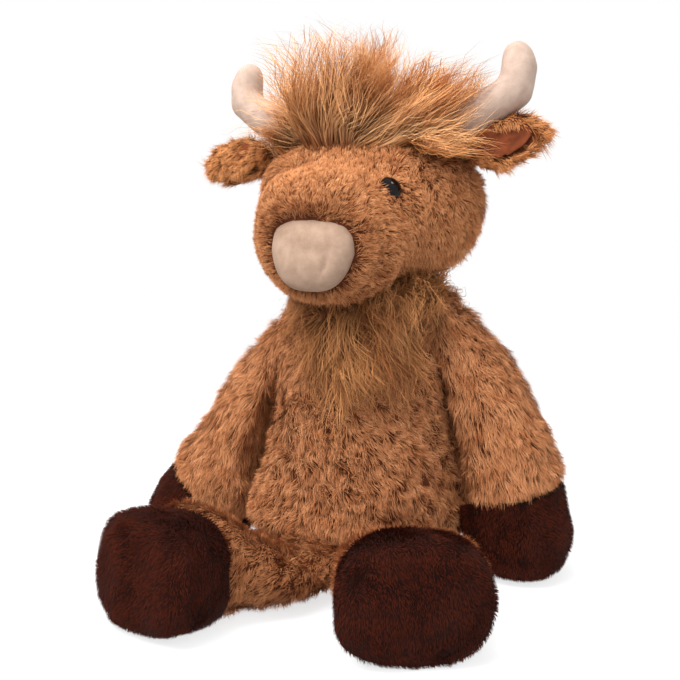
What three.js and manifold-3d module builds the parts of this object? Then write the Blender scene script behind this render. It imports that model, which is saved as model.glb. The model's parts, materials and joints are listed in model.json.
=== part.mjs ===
import * as THREE from 'three';
import { mergeVertices } from 'three/addons/utils/BufferGeometryUtils.js';
import Module from 'manifold-3d';

// A sitting highland cow, a stuffed plush toy. Millimetres, +Z up.
// The cow faces -Y and its left side is +X. Each skin is a sewn shell with its stuffing inside.

// Cloth and clearances
const fitGap = 0.35;          // between two pieces that are sewn or pressed together
const turnGap = 0.6;          // between two round faces that turn on each other
const neckGap = 0.85;         // between the collar, which isn't quite round, and the head
const sweepGap = 1.4;         // between a piece and what it swings past
const plushWall = 6;          // backing and pile of the long plush
const hoofWall = 4;           // backing and pile of the short dark plush
const velourWall = 2.5;       // smooth cloth of the ear linings
const restCut = 0.5;          // how deep a soft piece is flattened where it rests

// Torso, a pear with a flat seat and a round neck
const torsoHeight = 218;
const torsoHalfWidth = 72;
const torsoHalfDepth = 63;
const torsoLean = 6;          // the belly stands this far in front of the seat
const neckForward = 2;        // the neck's axis stands this far in front of the seat
const neckHoleRadius = 24;
const pelletBagHeight = 48;

// Chest ruff, a bib of long hair
const ruffHalfWidth = 47;
const ruffTop = 195;
const ruffBottom = 110;
const ruffHalfThickness = 17;

// Tail
const tailHeight = 74;        // of its seam above the ground
const tailRadius = 7;
const tailBallRadius = 9;
const tailReach = 15;         // behind its seam
const tailDrop = 44;          // from its seam to the start of the tuft
const tuftRadius = 13;
const tailTipClearance = 5;   // above the ground
const tailSwing = 35;

// Head
const headHalfWidth = 83;
const headHalfHeight = 57;
const headBack = 58;          // behind the seat's middle
const headHeight = 262;       // of its middle above the ground
const bridgeForward = 36;
const bridgeHeight = 246;
const muzzleForward = 81;
const muzzleHeight = 227;
const headLookAside = 11;     // the face is turned this many degrees to the cow's right
const headTurn = 35;          // degrees each way from straight ahead

// Nose pad
const noseHalfWidth = 29.5;
const noseHalfHeight = 24.5;
const noseDepth = 30;
const noseStandOff = 9;       // in front of the muzzle
const noseHeight = 233;
const noseSquareShare = 3.2;

// Forelock, a mop of long hair on the crown
const forelockHalfWidth = 79;
const forelockHalfDepth = 47;
const forelockBottom = 292;
const forelockTop = 371;
const forelockForward = 4;

// Horns
const hornRadius = 13;
const hornFootOut = 52;
const hornFootHeight = 309;
const hornBendOut = 107;
const hornBendHeight = 338;
const hornTipOut = 104;
const hornTipHeight = 368;
const hornFootBack = 7;
const hornBack = 17;          // the tips lean back this far
const hornSagShare = 0.8;     // rise of the horn's lower run, in shares of its radius

// Ears and their linings
const earOut = 68;            // of the seam from the middle
const earHeight = 294;
const earBack = 4;
const earLength = 70;
const earDroop = 2;
const earLift = { l: 12, r: 1 };   // degrees that each ear is raised by at rest
const earHalfHeight = 21;
const earHalfThickness = 7.5;
const earTilt = 20;           // the front faces down by this many degrees
const earBallRadius = 7;
const earFlap = 20;           // forward and backward about the seam
const liningShare = 0.72;     // of the ear's height that the lining covers
const liningStartShare = 1.5; // from the seam, in shares of the seam's ball

// Eyes and their lock washers
const eyeRadius = 6.5;
const eyeRise = 4.5;
const eyeBed = 1;             // how deep the dome sits in the pile
const shankRadius = 2.2;
const shankLength = 13;
const washerRadius = 7;
const washerThickness = 1.6;
const shankGap = 0.25;
const eyeAlongShare = 0.66;   // from the back of the head to the muzzle's tip
const eyeAngle = 36;          // above the side of the head

// Arms
const shoulderOut = { l: 62, r: 56 };   // the toy leans, so its right shoulder is lower
const shoulderHeight = { l: 169, r: 152 };
const shoulderBallRadius = 23;
const armRadius = 38;         // at the hoof
const handOut = { l: 116, r: 125 };
const handForward = 2;
const handHoofLength = { l: 62, r: 50 };
const armRaise = 90;
const armBackSwing = 20;
const armTurnOut = 22;        // degrees outward of straight ahead that it is raised
const elbowOut = { l: 12, r: 1 };    // the middle of the arm bows out this far

// Legs
const hipOut = 32;
const hipForward = 48;
const hipHeight = 29.5;
const hipBallRadius = 28;
const legLength = 148;        // from the hip to the sole
const legSplay = { l: 22, r: 25.5 };   // degrees away from straight ahead
const footHalfWidth = 48;
const footHalfHeight = 40;
const footHoofLength = 46;
const legSquareShare = 2.4;   // a little boxy, because the leg lies on the ground
const legRaise = 30;
const legDrop = 60;

// Facets and steps
const profileSamples = 400;
const domeSteps = 4;
const swingStepDegrees = 15;  // degrees between the poses that a piece is cleared in
const bodySides = 22;
const bodyRings = 14;
const limbSides = 16;
const limbRings = 10;
const smallSides = 10;
const smallRings = 8;
const ballSides = 10;
const ballRings = 7;

// Profiles: share of length, share of half width, share of half depth
const bellyShare = 0.42;
const collarShare = 0.86;
const crownShare = 0.125;
const torsoShares = [
  [0, 0, 0], [0.003, 0.45, 0.45], [0.06, 0.86, 0.84], [0.19, 0.985, 0.975], [0.31, 1, 1], [0.45, 0.93, 1],
  [0.61, 0.86, 0.95], [0.74, 0.82, 0.91], [0.85, 0.8, 0.88], [0.93, 0.7, 0.8], [0.98, 0.43, 0.491],
  [1, 0, 0],
];
const headShares = [
  [0, 0, 0], [0.025, 0.36, 0.38], [0.12, 0.75, 0.79], [0.3, 1, 1], [0.45, 0.93, 0.97], [0.58, 0.74, 0.85],
  [0.7, 0.64, 0.82], [0.82, 0.66, 0.88], [0.92, 0.59, 0.8], [0.98, 0.38, 0.52], [1, 0, 0],
];
const noseShares = [
  [0, 0, 0], [0.01, 0.8, 0.8], [0.3, 1, 1], [0.7, 0.95, 0.95], [0.9, 0.72, 0.72], [0.98, 0.4, 0.4],
  [1, 0, 0],
];
const forelockShares = [
  [0, 0, 0], [0.02, 0.6, 0.7], [0.14, 0.92, 0.96], [0.36, 1, 1], [0.62, 0.93, 0.88], [0.82, 0.72, 0.66],
  [0.95, 0.36, 0.36], [1, 0, 0],
];
const hornShares = [
  [0, 0, 0], [0.02, 1, 1], [0.35, 1, 1], [0.65, 0.97, 0.97], [0.85, 0.87, 0.87], [0.96, 0.6, 0.6], [1, 0, 0],
];
const earShares = [
  [0, 0, 0], [0.03, 0.35, 0.6], [0.15, 0.52, 0.85], [0.4, 0.92, 1], [0.6, 1, 0.9], [0.8, 0.82, 0.72],
  [0.94, 0.42, 0.5], [1, 0, 0],
];
const armShares = [
  [0, 0, 0], [0.02, 0.4, 0.4], [0.1, 0.68, 0.66], [0.22, 0.86, 0.8], [0.42, 0.98, 0.9],
  [0.62, 1, 0.95], [0.8, 1, 1], [0.93, 0.95, 0.95], [0.985, 0.7, 0.7], [1, 0, 0],
];
const legShares = [
  [0, 0, 0], [0.02, 0.34, 0.38], [0.1, 0.6, 0.68], [0.25, 0.74, 0.78], [0.48, 0.86, 0.86],
  [0.66, 0.93, 0.93], [0.8, 0.98, 0.99], [0.91, 1, 1], [0.975, 0.78, 0.78], [1, 0, 0],
];
const ruffShares = [
  [0, 0, 0], [0.04, 0.62, 0.55], [0.18, 0.95, 0.9], [0.35, 1, 1], [0.6, 0.82, 0.98], [0.82, 0.5, 0.72],
  [0.95, 0.22, 0.36], [1, 0, 0],
];
const tailShares = [
  [0, 0, 0], [0.03, 0.8, 0.8], [0.15, 1, 1], [0.7, 0.85, 0.85], [0.96, 0.7, 0.7], [1, 0, 0],
];
const tuftShares = [
  [0, 0, 0], [0.04, 0.5, 0.5], [0.3, 0.95, 0.95], [0.5, 1, 1], [0.78, 0.66, 0.66], [0.95, 0.3, 0.3],
  [1, 0, 0],
];

const wasm = await Module();
wasm.setup();

const sides = { l: 1, r: -1 };
const xAxis = new THREE.Vector3(1, 0, 0);
const yAxis = new THREE.Vector3(0, 1, 0);
const zAxis = new THREE.Vector3(0, 0, 1);
const radians = THREE.MathUtils.degToRad;

// A closed geometry as a solid that can be joined and cut
function solidOf(geometry) {
  const bare = geometry.clone();
  bare.deleteAttribute('normal');
  bare.deleteAttribute('uv');
  const merged = mergeVertices(bare);
  return new wasm.Manifold(new wasm.Mesh({
    numProp: 3,
    vertProperties: new Float32Array(merged.attributes.position.array),
    triVerts: new Uint32Array(merged.index.array),
  }));
}

// A solid back as a three.js geometry
function geometryOf(solid) {
  const mesh = solid.getMesh();
  const geometry = new THREE.BufferGeometry();
  geometry.setAttribute('position', new THREE.BufferAttribute(new Float32Array(mesh.vertProperties), 3));
  geometry.setIndex(new THREE.BufferAttribute(new Uint32Array(mesh.triVerts), 1));
  geometry.computeVertexNormals();
  return geometry;
}

// The solid of a geometry moved by a matrix
function placed(geometry, matrix) {
  return solidOf(geometry.clone().applyMatrix4(matrix));
}

// A turn by some degrees about an axis through a point
function turnAbout(point, axis, degrees) {
  const away = new THREE.Matrix4().makeTranslation(-point.x, -point.y, -point.z);
  const back = new THREE.Matrix4().makeTranslation(point.x, point.y, point.z);
  const turn = new THREE.Matrix4().makeRotationAxis(axis, radians(degrees));
  return back.multiply(turn).multiply(away);
}

// A stuffed form: elliptic rings that swell and taper along a spine.
// Growing it moves its whole surface out by one distance, and a negative distance moves it in.
class StuffedForm {
  constructor(spinePoints, shares, halfWidth, halfDepth, across, squareness = 2) {
    this.spine = new THREE.CatmullRomCurve3(spinePoints);
    this.length = this.spine.getLength();
    this.rows = new THREE.CatmullRomCurve3(
      shares.map(([along, wide, deep]) => new THREE.Vector3(along, wide, deep)), false, 'centripetal');
    this.halfWidth = halfWidth;
    this.halfDepth = halfDepth;
    this.across = across;
    this.squareness = squareness;
  }

  // The spine's point and directions at a distance along it, also past its ends
  frameAt(distance) {
    const share = THREE.MathUtils.clamp(distance / this.length, 0, 1);
    const tangent = this.spine.getTangentAt(share);
    const centre = this.spine.getPointAt(share).addScaledVector(tangent, distance - share * this.length);
    const over = new THREE.Vector3().crossVectors(tangent, this.across).normalize();
    const wide = new THREE.Vector3().crossVectors(over, tangent).normalize();
    return { centre, wide, over, tangent };
  }

  // Distance along, half width and half depth of one ring, moved out by grow
  ringAt(share, grow) {
    const row = this.rows.getPoint(share);
    const step = this.rows.getTangent(share);
    const rise = step.y * this.halfWidth;
    const run = step.x * this.length;
    const slope = Math.hypot(rise, run);
    const atEnd = share === 0 || share === 1;
    const outward = atEnd ? 0 : run / slope;
    const alongward = atEnd ? (share === 0 ? -1 : 1) : -rise / slope;
    return {
      distance: row.x * this.length + grow * alongward,
      wide: Math.max(row.y * this.halfWidth + grow * outward, 0),
      deep: Math.max(row.z * this.halfDepth + grow * outward, 0),
    };
  }

  // A point on the surface, by its share along the form and its angle from the across direction
  surfacePoint(share, degrees, grow = 0) {
    const ring = this.ringNear(share, grow);
    const { centre, wide, over } = this.frameAt(ring.distance);
    return centre.addScaledVector(wide, ring.wide * Math.cos(radians(degrees)))
      .addScaledVector(over, ring.deep * Math.sin(radians(degrees)));
  }

  // The ring whose distance along the spine is nearest to a share of the length
  ringNear(share, grow) {
    const tries = Array.from(
      { length: profileSamples + 1 }, (_, i) => this.ringAt(i / profileSamples, grow));
    const target = share * this.length;
    return tries.reduce((best, ring) =>
      Math.abs(ring.distance - target) < Math.abs(best.distance - target) ? ring : best);
  }

  // The closed geometry of the form
  geometry(ringCount, sideCount, grow = 0) {
    const positions = [];
    const index = [];
    const power = 2 / this.squareness;
    const rounded = (value) => Math.sign(value) * Math.abs(value) ** power;
    const start = this.ringAt(0, grow);
    const end = this.ringAt(1, grow);
    positions.push(...this.frameAt(start.distance).centre.toArray());
    for (let i = 1; i < ringCount; i++) {
      const ring = this.ringAt(i / ringCount, grow);
      const { centre, wide, over } = this.frameAt(ring.distance);
      for (let j = 0; j < sideCount; j++) {
        const angle = 2 * Math.PI * j / sideCount;
        positions.push(...centre.clone()
          .addScaledVector(wide, ring.wide * rounded(Math.cos(angle)))
          .addScaledVector(over, ring.deep * rounded(Math.sin(angle))).toArray());
      }
    }
    positions.push(...this.frameAt(end.distance).centre.toArray());
    const last = positions.length / 3 - 1;
    for (let j = 0; j < sideCount; j++) {
      const next = (j + 1) % sideCount;
      index.push(0, 1 + next, 1 + j);
      for (let i = 0; i < ringCount - 2; i++) {
        const low = 1 + i * sideCount;
        const high = low + sideCount;
        index.push(low + j, low + next, high + next, low + j, high + next, high + j);
      }
      const top = last - sideCount;
      index.push(last, top + j, top + next);
    }
    const geometry = new THREE.BufferGeometry();
    geometry.setAttribute('position', new THREE.BufferAttribute(new Float32Array(positions), 3));
    geometry.setIndex(index);
    return geometry;
  }

  solid(ringCount, sideCount, grow = 0) {
    return solidOf(this.geometry(ringCount, sideCount, grow));
  }
}

// A ball with its poles on an axis, and a socket in which such a ball can turn about that axis
function ball(centre, radius, axis, sideCount = ballSides) {
  const geometry = new THREE.SphereGeometry(radius, sideCount, ballRings);
  const turn = new THREE.Matrix4().makeRotationFromQuaternion(
    new THREE.Quaternion().setFromUnitVectors(yAxis, axis));
  return placed(geometry, new THREE.Matrix4().makeTranslation(centre.x, centre.y, centre.z).multiply(turn));
}

function socket(centre, radius, axis) {
  const sideCount = ballSides * 2;
  return ball(centre, radius / Math.cos(Math.PI / sideCount), axis, sideCount);
}

// Everything below a height
function ground(height) {
  const reach = 2 * (torsoHeight + legLength);
  const block = new THREE.BoxGeometry(reach, reach, torsoHeight);
  return placed(block, new THREE.Matrix4().makeTranslation(0, 0, height - torsoHeight / 2));
}

// A half space on the far side of a plane, as a big block
function beyond(point, direction) {
  const reach = 2 * (armRadius + legLength);
  const block = new THREE.BoxGeometry(reach, reach, reach);
  const turn = new THREE.Matrix4().makeRotationFromQuaternion(
    new THREE.Quaternion().setFromUnitVectors(zAxis, direction));
  const centre = point.clone().addScaledVector(direction, reach / 2);
  return placed(block, new THREE.Matrix4().makeTranslation(centre.x, centre.y, centre.z).multiply(turn));
}

// Takes a blocker out of a piece at each of some joint angles
function clearOf(piece, blocker, pivot, axis, angles) {
  return angles.reduce(
    (left, angle) => left.subtract(placed(blocker, turnAbout(pivot, axis, -angle))), piece);
}

// Angles in even steps from one limit to the other
function swingAngles(low, high) {
  const steps = Math.ceil((high - low) / swingStepDegrees);
  return Array.from({ length: steps + 1 }, (_, i) => low + (high - low) * i / steps);
}

function material(color, roughness, metalness = 0) {
  return new THREE.MeshStandardMaterial({ color, roughness, metalness });
}

const finishes = {
  tanPlush: () => material(0xb9784b, 0.95),
  longHair: () => material(0xcf9c66, 0.9),
  darkPlush: () => material(0x46201a, 0.95),
  beigeVelour: () => material(0xd6bda8, 0.9),
  rustVelour: () => material(0xa55f3c, 0.85),
  stuffing: () => material(0xf2efe8, 1),
  pelletCloth: () => material(0xe3ddcf, 0.9),
  glossyEye: () => material(0x0a0807, 0.08),
  washerPlastic: () => material(0xdedede, 0.5),
};

const cow = new THREE.Group();

function add(group, name, solid, finish) {
  const mesh = new THREE.Mesh(geometryOf(solid), finish());
  mesh.name = name;
  group.add(mesh);
}

// Main forms
const neckAxisPoint = new THREE.Vector3(0, -neckForward, torsoHeight);

const torsoForm = new StuffedForm([
  new THREE.Vector3(0, -torsoLean / 2, -restCut),
  new THREE.Vector3(0, -torsoLean, torsoHeight * bellyShare),
  new THREE.Vector3(0, -neckForward, torsoHeight * collarShare),
  neckAxisPoint,
], torsoShares, torsoHalfWidth, torsoHalfDepth, xAxis);

const headForm = new StuffedForm([
  new THREE.Vector3(0, headBack, headHeight),
  new THREE.Vector3(0, headBack * crownShare, headHeight),
  new THREE.Vector3(0, -bridgeForward, bridgeHeight),
  new THREE.Vector3(0, -muzzleForward, muzzleHeight),
], headShares, headHalfWidth, headHalfHeight, xAxis);

const shoulderAxis = (side) => xAxis.clone().applyAxisAngle(zAxis, side * radians(armTurnOut));
const nameOf = (side) => side > 0 ? 'l' : 'r';
const shoulderPoint = (side) =>
  new THREE.Vector3(side * shoulderOut[nameOf(side)], 0, shoulderHeight[nameOf(side)]);
const handPoint = (side) => new THREE.Vector3(side * handOut[nameOf(side)], -handForward, -restCut);

const armForm = (side) => {
  const shoulder = shoulderPoint(side);
  const down = handPoint(side).sub(shoulder).normalize();
  return new StuffedForm([
    shoulder.clone().addScaledVector(down, -shoulderBallRadius / 2),
    shoulder.clone().lerp(handPoint(side), 0.5).add(new THREE.Vector3(side * elbowOut[nameOf(side)], 0, 0)),
    handPoint(side).setZ(armRadius),
    handPoint(side),
  ], armShares, armRadius, armRadius, xAxis);
};

const hipPoint = (side) => new THREE.Vector3(side * hipOut, -hipForward, hipHeight);
const legDirection = (side) => {
  const splay = radians(legSplay[nameOf(side)]);
  return new THREE.Vector3(side * Math.sin(splay), -Math.cos(splay), 0);
};
const solePoint = (side) => hipPoint(side).addScaledVector(legDirection(side), legLength)
  .setZ(footHalfHeight - restCut);

const legForm = (side) => new StuffedForm([
  hipPoint(side).addScaledVector(legDirection(side), -hipBallRadius / 2),
  hipPoint(side).lerp(solePoint(side), 0.5),
  solePoint(side),
], legShares, footHalfWidth, footHalfHeight, xAxis, legSquareShare);

const tailPoint = new THREE.Vector3(0, torsoHalfDepth - torsoLean, tailHeight);
const earPoint = (side) => new THREE.Vector3(side * earOut, earBack, earHeight);
// The ear's height runs along its seam, which leans with its face
const earUpright = zAxis.clone().applyAxisAngle(xAxis, radians(-earTilt));

// Torso skin with a pocket at each limb's seam, its stuffing and its bag of pellets
function buildTorso() {
  const group = new THREE.Group();
  const limbs = Object.values(sides).flatMap((side) => [
    { centre: shoulderPoint(side), radius: shoulderBallRadius, axis: shoulderAxis(side) },
    { centre: hipPoint(side), radius: hipBallRadius, axis: xAxis },
  ]);
  limbs.push({ centre: tailPoint, radius: tailBallRadius, axis: yAxis });
  const neckHole = placed(
    new THREE.CylinderGeometry(neckHoleRadius, neckHoleRadius, torsoHeight / 2, smallSides * 2),
    new THREE.Matrix4().makeTranslation(0, -neckForward, torsoHeight)
      .multiply(new THREE.Matrix4().makeRotationX(Math.PI / 2)));
  let hollow = torsoForm.solid(smallRings, smallSides, -plushWall);
  let filling = torsoForm.solid(smallRings, smallSides, -plushWall - fitGap);
  let skin = torsoForm.solid(bodyRings, bodySides);
  for (const { centre, radius, axis } of limbs) {
    hollow = hollow.subtract(ball(centre, radius + turnGap + plushWall, axis));
    filling = filling.subtract(ball(centre, radius + turnGap + plushWall + fitGap, axis));
    skin = skin.subtract(socket(centre, radius + fitGap, axis));
  }
  skin = skin.subtract(hollow).subtract(neckHole).subtract(ground(0));
  const bagTop = new THREE.Vector3(0, 0, pelletBagHeight);
  const bagFloor = ground(plushWall + fitGap);
  const bag = filling.subtract(beyond(bagTop, zAxis)).subtract(bagFloor);
  const stuffing = filling.subtract(ground(pelletBagHeight + fitGap))
    .subtract(beyond(bagTop.clone().setZ(torsoHeight - plushWall - fitGap), zAxis));
  add(group, 'torso_skin', skin, finishes.tanPlush);
  add(group, 'torso_stuffing', stuffing, finishes.stuffing);
  add(group, 'pellet_bag', bag, finishes.pelletCloth);
  return group;
}

// Bib of long hair that lies on the chest
function buildRuff() {
  const onChest = (height) => torsoForm.surfacePoint(height / torsoHeight, -90);
  const bib = new StuffedForm([onChest(ruffTop), onChest((ruffTop + ruffBottom) / 2), onChest(ruffBottom)],
    ruffShares, ruffHalfWidth, ruffHalfThickness, xAxis);
  const head = headForm.geometry(bodyRings, bodySides, sweepGap);
  const turns = swingAngles(-headTurn, headTurn);
  return clearOf(bib.solid(limbRings, limbSides), head, neckAxisPoint, zAxis, turns)
    .subtract(torsoForm.solid(bodyRings, bodySides, fitGap));
}

// Tail rope and the tuft at its end
function buildTail() {
  const group = new THREE.Group();
  const bend = tailPoint.clone().add(new THREE.Vector3(0, tailReach, -tailDrop / 3));
  const ropeEnd = tailPoint.clone().add(new THREE.Vector3(0, tailReach, -tailDrop));
  const tuftTop = ropeEnd.clone().setZ(ropeEnd.z + tuftRadius / 2);
  const tuftEnd = tuftTop.clone().setZ(tailTipClearance);
  const rope = new StuffedForm([tailPoint, bend, ropeEnd], tailShares, tailRadius, tailRadius, xAxis);
  const tuft = new StuffedForm(
    [tuftTop, tuftTop.clone().lerp(tuftEnd, 0.5), tuftEnd], tuftShares, tuftRadius, tuftRadius, xAxis);
  const torso = torsoForm.geometry(bodyRings, bodySides, fitGap);
  const ropeSolid = clearOf(rope.solid(smallRings, smallSides), torso, tailPoint, yAxis,
    swingAngles(-tailSwing, tailSwing))
    .add(ball(tailPoint, tailBallRadius, yAxis));
  const tuftSolid = tuft.solid(smallRings, smallSides)
    .subtract(rope.solid(smallRings, smallSides, fitGap));
  add(group, 'tail_rope', ropeSolid, finishes.tanPlush);
  add(group, 'tail_tuft', tuftSolid, finishes.longHair);
  return group;
}

// Where an eye sits on the head, and its outward direction
function eyeSeat(side) {
  const angle = side > 0 ? eyeAngle : 180 - eyeAngle;
  const point = headForm.surfacePoint(eyeAlongShare, angle);
  const outer = headForm.surfacePoint(eyeAlongShare, angle, plushWall);
  return { point, outward: outer.sub(point).normalize() };
}

// A turned shape standing on the eye's seat
function onEyeSeat(profile, side, segments) {
  const { point, outward } = eyeSeat(side);
  const turn = new THREE.Matrix4().makeRotationFromQuaternion(
    new THREE.Quaternion().setFromUnitVectors(yAxis, outward));
  const shape = new THREE.LatheGeometry(profile.map(([r, h]) => new THREE.Vector2(r, h)), segments);
  return placed(shape, new THREE.Matrix4().makeTranslation(point.x, point.y, point.z).multiply(turn));
}

// Safety eye: a dome on a shank
function eyeSolid(side, grow) {
  const domeTop = eyeRise - eyeBed;
  const dome = Array.from({ length: domeSteps + 1 }, (_, i) => {
    const angle = Math.PI / 2 * (i / domeSteps);
    return [(eyeRadius + grow) * Math.cos(angle), (eyeRise + grow) * Math.sin(angle) - eyeBed];
  });
  dome[dome.length - 1] = [0, domeTop + grow];
  const foot = -shankLength - grow;
  const shank = [[0, foot], [shankRadius + grow, foot], [shankRadius + grow, -eyeBed - grow],
    [eyeRadius + grow, -eyeBed - grow]];
  return onEyeSeat([...shank, ...dome], side, bodyRings);
}

// Lock washer on the shank, inside the head
function washerSolid(side, grow) {
  const top = -plushWall - fitGap + grow;
  const bottom = -plushWall - fitGap - washerThickness - grow;
  const bore = grow > 0 ? 0 : shankRadius + shankGap;
  const ring = [[bore, bottom], [washerRadius + grow, bottom], [washerRadius + grow, top], [bore, top]];
  if (bore > 0) ring.push([bore, bottom]);
  return onEyeSeat(ring, side, smallSides);
}

// Head skin, stuffing, nose pad, eyes and washers
function buildHead() {
  const group = new THREE.Group();
  // Twice the sides of the collar, so that its corners clear the cut as the head turns
  const neckCut = torsoForm.solid(bodyRings, bodySides * 2, neckGap);
  const neckInside = torsoForm.solid(bodyRings, bodySides, turnGap + plushWall);
  const neckHole = placed(
    new THREE.CylinderGeometry(neckHoleRadius, neckHoleRadius, headHalfHeight, smallSides * 2),
    new THREE.Matrix4().makeTranslation(0, -neckForward, headHeight - headHalfHeight)
      .multiply(new THREE.Matrix4().makeRotationX(Math.PI / 2)));
  const hollow = headForm.solid(smallRings, smallSides, -plushWall).subtract(neckInside);
  let stuffing = headForm.solid(smallRings, smallSides, -plushWall - fitGap)
    .subtract(torsoForm.solid(bodyRings, bodySides, turnGap + plushWall + fitGap));
  let skin = headForm.solid(bodyRings, bodySides).subtract(neckCut).subtract(hollow).subtract(neckHole);
  for (const [name, side] of Object.entries(sides)) {
    const pivot = earPoint(side);
    skin = skin.subtract(eyeSolid(side, shankGap)).subtract(washerSolid(side, fitGap))
      .subtract(socket(pivot, earBallRadius + fitGap, earUpright));
    stuffing = stuffing.subtract(eyeSolid(side, fitGap)).subtract(washerSolid(side, fitGap))
      .subtract(ball(pivot, earBallRadius + turnGap + fitGap, earUpright));
    add(group, `eye_${name}`, eyeSolid(side, 0), finishes.glossyEye);
    add(group, `eye_washer_${name}`, washerSolid(side, 0), finishes.washerPlastic);
  }
  add(group, 'head_skin', skin, finishes.tanPlush);
  add(group, 'head_stuffing', stuffing, finishes.stuffing);
  add(group, 'nose_pad', buildNose(), finishes.beigeVelour);
  return group;
}

// Squarish pillow on the front of the muzzle
function buildNose() {
  const front = new THREE.Vector3(0, -muzzleForward - noseStandOff, noseHeight);
  const back = front.clone().add(new THREE.Vector3(0, noseDepth, 0));
  const pad = new StuffedForm([back, back.clone().lerp(front, 0.5), front],
    noseShares, noseHalfWidth, noseHalfHeight, xAxis, noseSquareShare);
  return pad.solid(smallRings, smallSides * 2).subtract(headForm.solid(bodyRings, bodySides, fitGap));
}

// Horn, sweeping out and then up
function hornForm(side) {
  return new StuffedForm([
    new THREE.Vector3(side * hornFootOut, hornFootBack, hornFootHeight),
    new THREE.Vector3(
      side * (hornFootOut + hornBendOut) / 2, hornFootBack, hornFootHeight + hornRadius * hornSagShare),
    new THREE.Vector3(side * hornBendOut, (hornFootBack + hornBack) / 2, hornBendHeight),
    new THREE.Vector3(side * hornTipOut, hornBack, hornTipHeight),
  ], hornShares, hornRadius, hornRadius, yAxis);
}

const earAngles = swingAngles(-earFlap, earFlap);
const earPose = (name) => turnAbout(earPoint(sides[name]), yAxis, -sides[name] * earLift[name]);

function earForm(side) {
  const root = earPoint(side);
  const tip = root.clone().add(new THREE.Vector3(side * earLength, 0, -earDroop));
  return new StuffedForm([root, root.clone().lerp(tip, 0.5), tip],
    earShares, earHalfHeight, earHalfThickness, earUpright);
}

// The smooth lining lies on the front of the ear
function liningForm(side) {
  const front = new THREE.Vector3(0, -1, 0).applyAxisAngle(xAxis, radians(-earTilt));
  const root = earPoint(side).addScaledVector(front, earHalfThickness - velourWall / 2)
    .add(new THREE.Vector3(side * earBallRadius * liningStartShare, 0, 0));
  const tip = root.clone().add(new THREE.Vector3(side * earLength * liningShare, 0, -earDroop));
  return new StuffedForm([root, root.clone().lerp(tip, 0.5), tip],
    earShares, earHalfHeight * liningShare, velourWall, earUpright);
}

function buildEar(name, side) {
  const group = new THREE.Group();
  const pivot = earPoint(side);
  const head = headForm.geometry(bodyRings, bodySides, sweepGap);
  const horn = hornForm(side).geometry(smallRings, smallSides, sweepGap);
  const cleared = (form) => [head, horn].reduce(
    (left, blocker) => clearOf(left, blocker, pivot, earUpright, earAngles),
    placed(form.geometry(smallRings, smallSides), earPose(name)));
  const lining = cleared(liningForm(side)).subtract(ball(pivot, earBallRadius + fitGap, earUpright));
  const ear = cleared(earForm(side))
    .subtract(placed(liningForm(side).geometry(smallRings, smallSides, fitGap), earPose(name)))
    .add(ball(pivot, earBallRadius, earUpright));
  add(group, `ear_${name}`, ear, finishes.tanPlush);
  add(group, `ear_lining_${name}`, lining, finishes.rustVelour);
  return group;
}

// Crown: horns on the head, and the mop of hair cut by the head, the horns and the ears' sweep
function buildCrown() {
  const group = new THREE.Group();
  const middle = -forelockForward;
  const mop = new StuffedForm([
    new THREE.Vector3(0, middle, forelockBottom),
    new THREE.Vector3(0, middle, (forelockBottom + forelockTop) / 2),
    new THREE.Vector3(0, middle, forelockTop),
  ], forelockShares, forelockHalfWidth, forelockHalfDepth, xAxis);
  let hair = mop.solid(bodyRings, bodySides).subtract(headForm.solid(bodyRings, bodySides, fitGap));
  for (const [name, side] of Object.entries(sides)) {
    const horn = hornForm(side);
    const hornSolid = horn.solid(smallRings, smallSides)
      .subtract(headForm.solid(bodyRings, bodySides, fitGap));
    hair = hair.subtract(horn.solid(smallRings, smallSides, fitGap))
      .subtract(ball(earPoint(side), earBallRadius + sweepGap, earUpright));
    const ear = earForm(side).geometry(smallRings, smallSides, sweepGap).applyMatrix4(earPose(name));
    hair = earAngles.reduce((left, angle) =>
      left.subtract(placed(ear, turnAbout(earPoint(side), earUpright, angle))), hair);
    add(group, `horn_${name}`, hornSolid, finishes.beigeVelour);
  }
  add(group, 'forelock', hair, finishes.longHair);
  return group;
}

// A stuffed limb: a sleeve with a ball in the torso's pocket, a hoof on its end, stuffing in both
function buildLimb(form, pivot, ballRadius, hoofLength, axis, angles) {
  const cleared = (rings, sideCount, grow) => clearOf(
    form.solid(rings, sideCount, grow), torsoForm.geometry(bodyRings, bodySides, sweepGap - grow),
    pivot, axis, angles);
  const whole = cleared(limbRings, limbSides, 0).add(ball(pivot, ballRadius, axis)).subtract(ground(0));
  const cuff = form.frameAt(form.length - hoofLength);
  const hoofStart = form.frameAt(form.length - hoofLength + fitGap).centre;
  const root = form.frameAt(ballRadius * 2);
  const upLimb = cuff.tangent.clone().negate();
  const rootward = root.tangent.clone().negate();
  const sleeveHollow = cleared(smallRings, smallSides, -plushWall).subtract(beyond(root.centre, rootward));
  const stuffingStart = form.frameAt(ballRadius * 2 + fitGap).centre;
  const sleeve = whole.subtract(beyond(cuff.centre, cuff.tangent)).subtract(sleeveHollow);
  const hoof = whole.subtract(beyond(hoofStart, upLimb))
    .subtract(form.solid(smallRings, smallSides, -hoofWall));
  const stuffing = cleared(smallRings, smallSides, -plushWall - fitGap)
    .subtract(beyond(stuffingStart, rootward));
  return { sleeve, hoof, stuffing };
}

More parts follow.
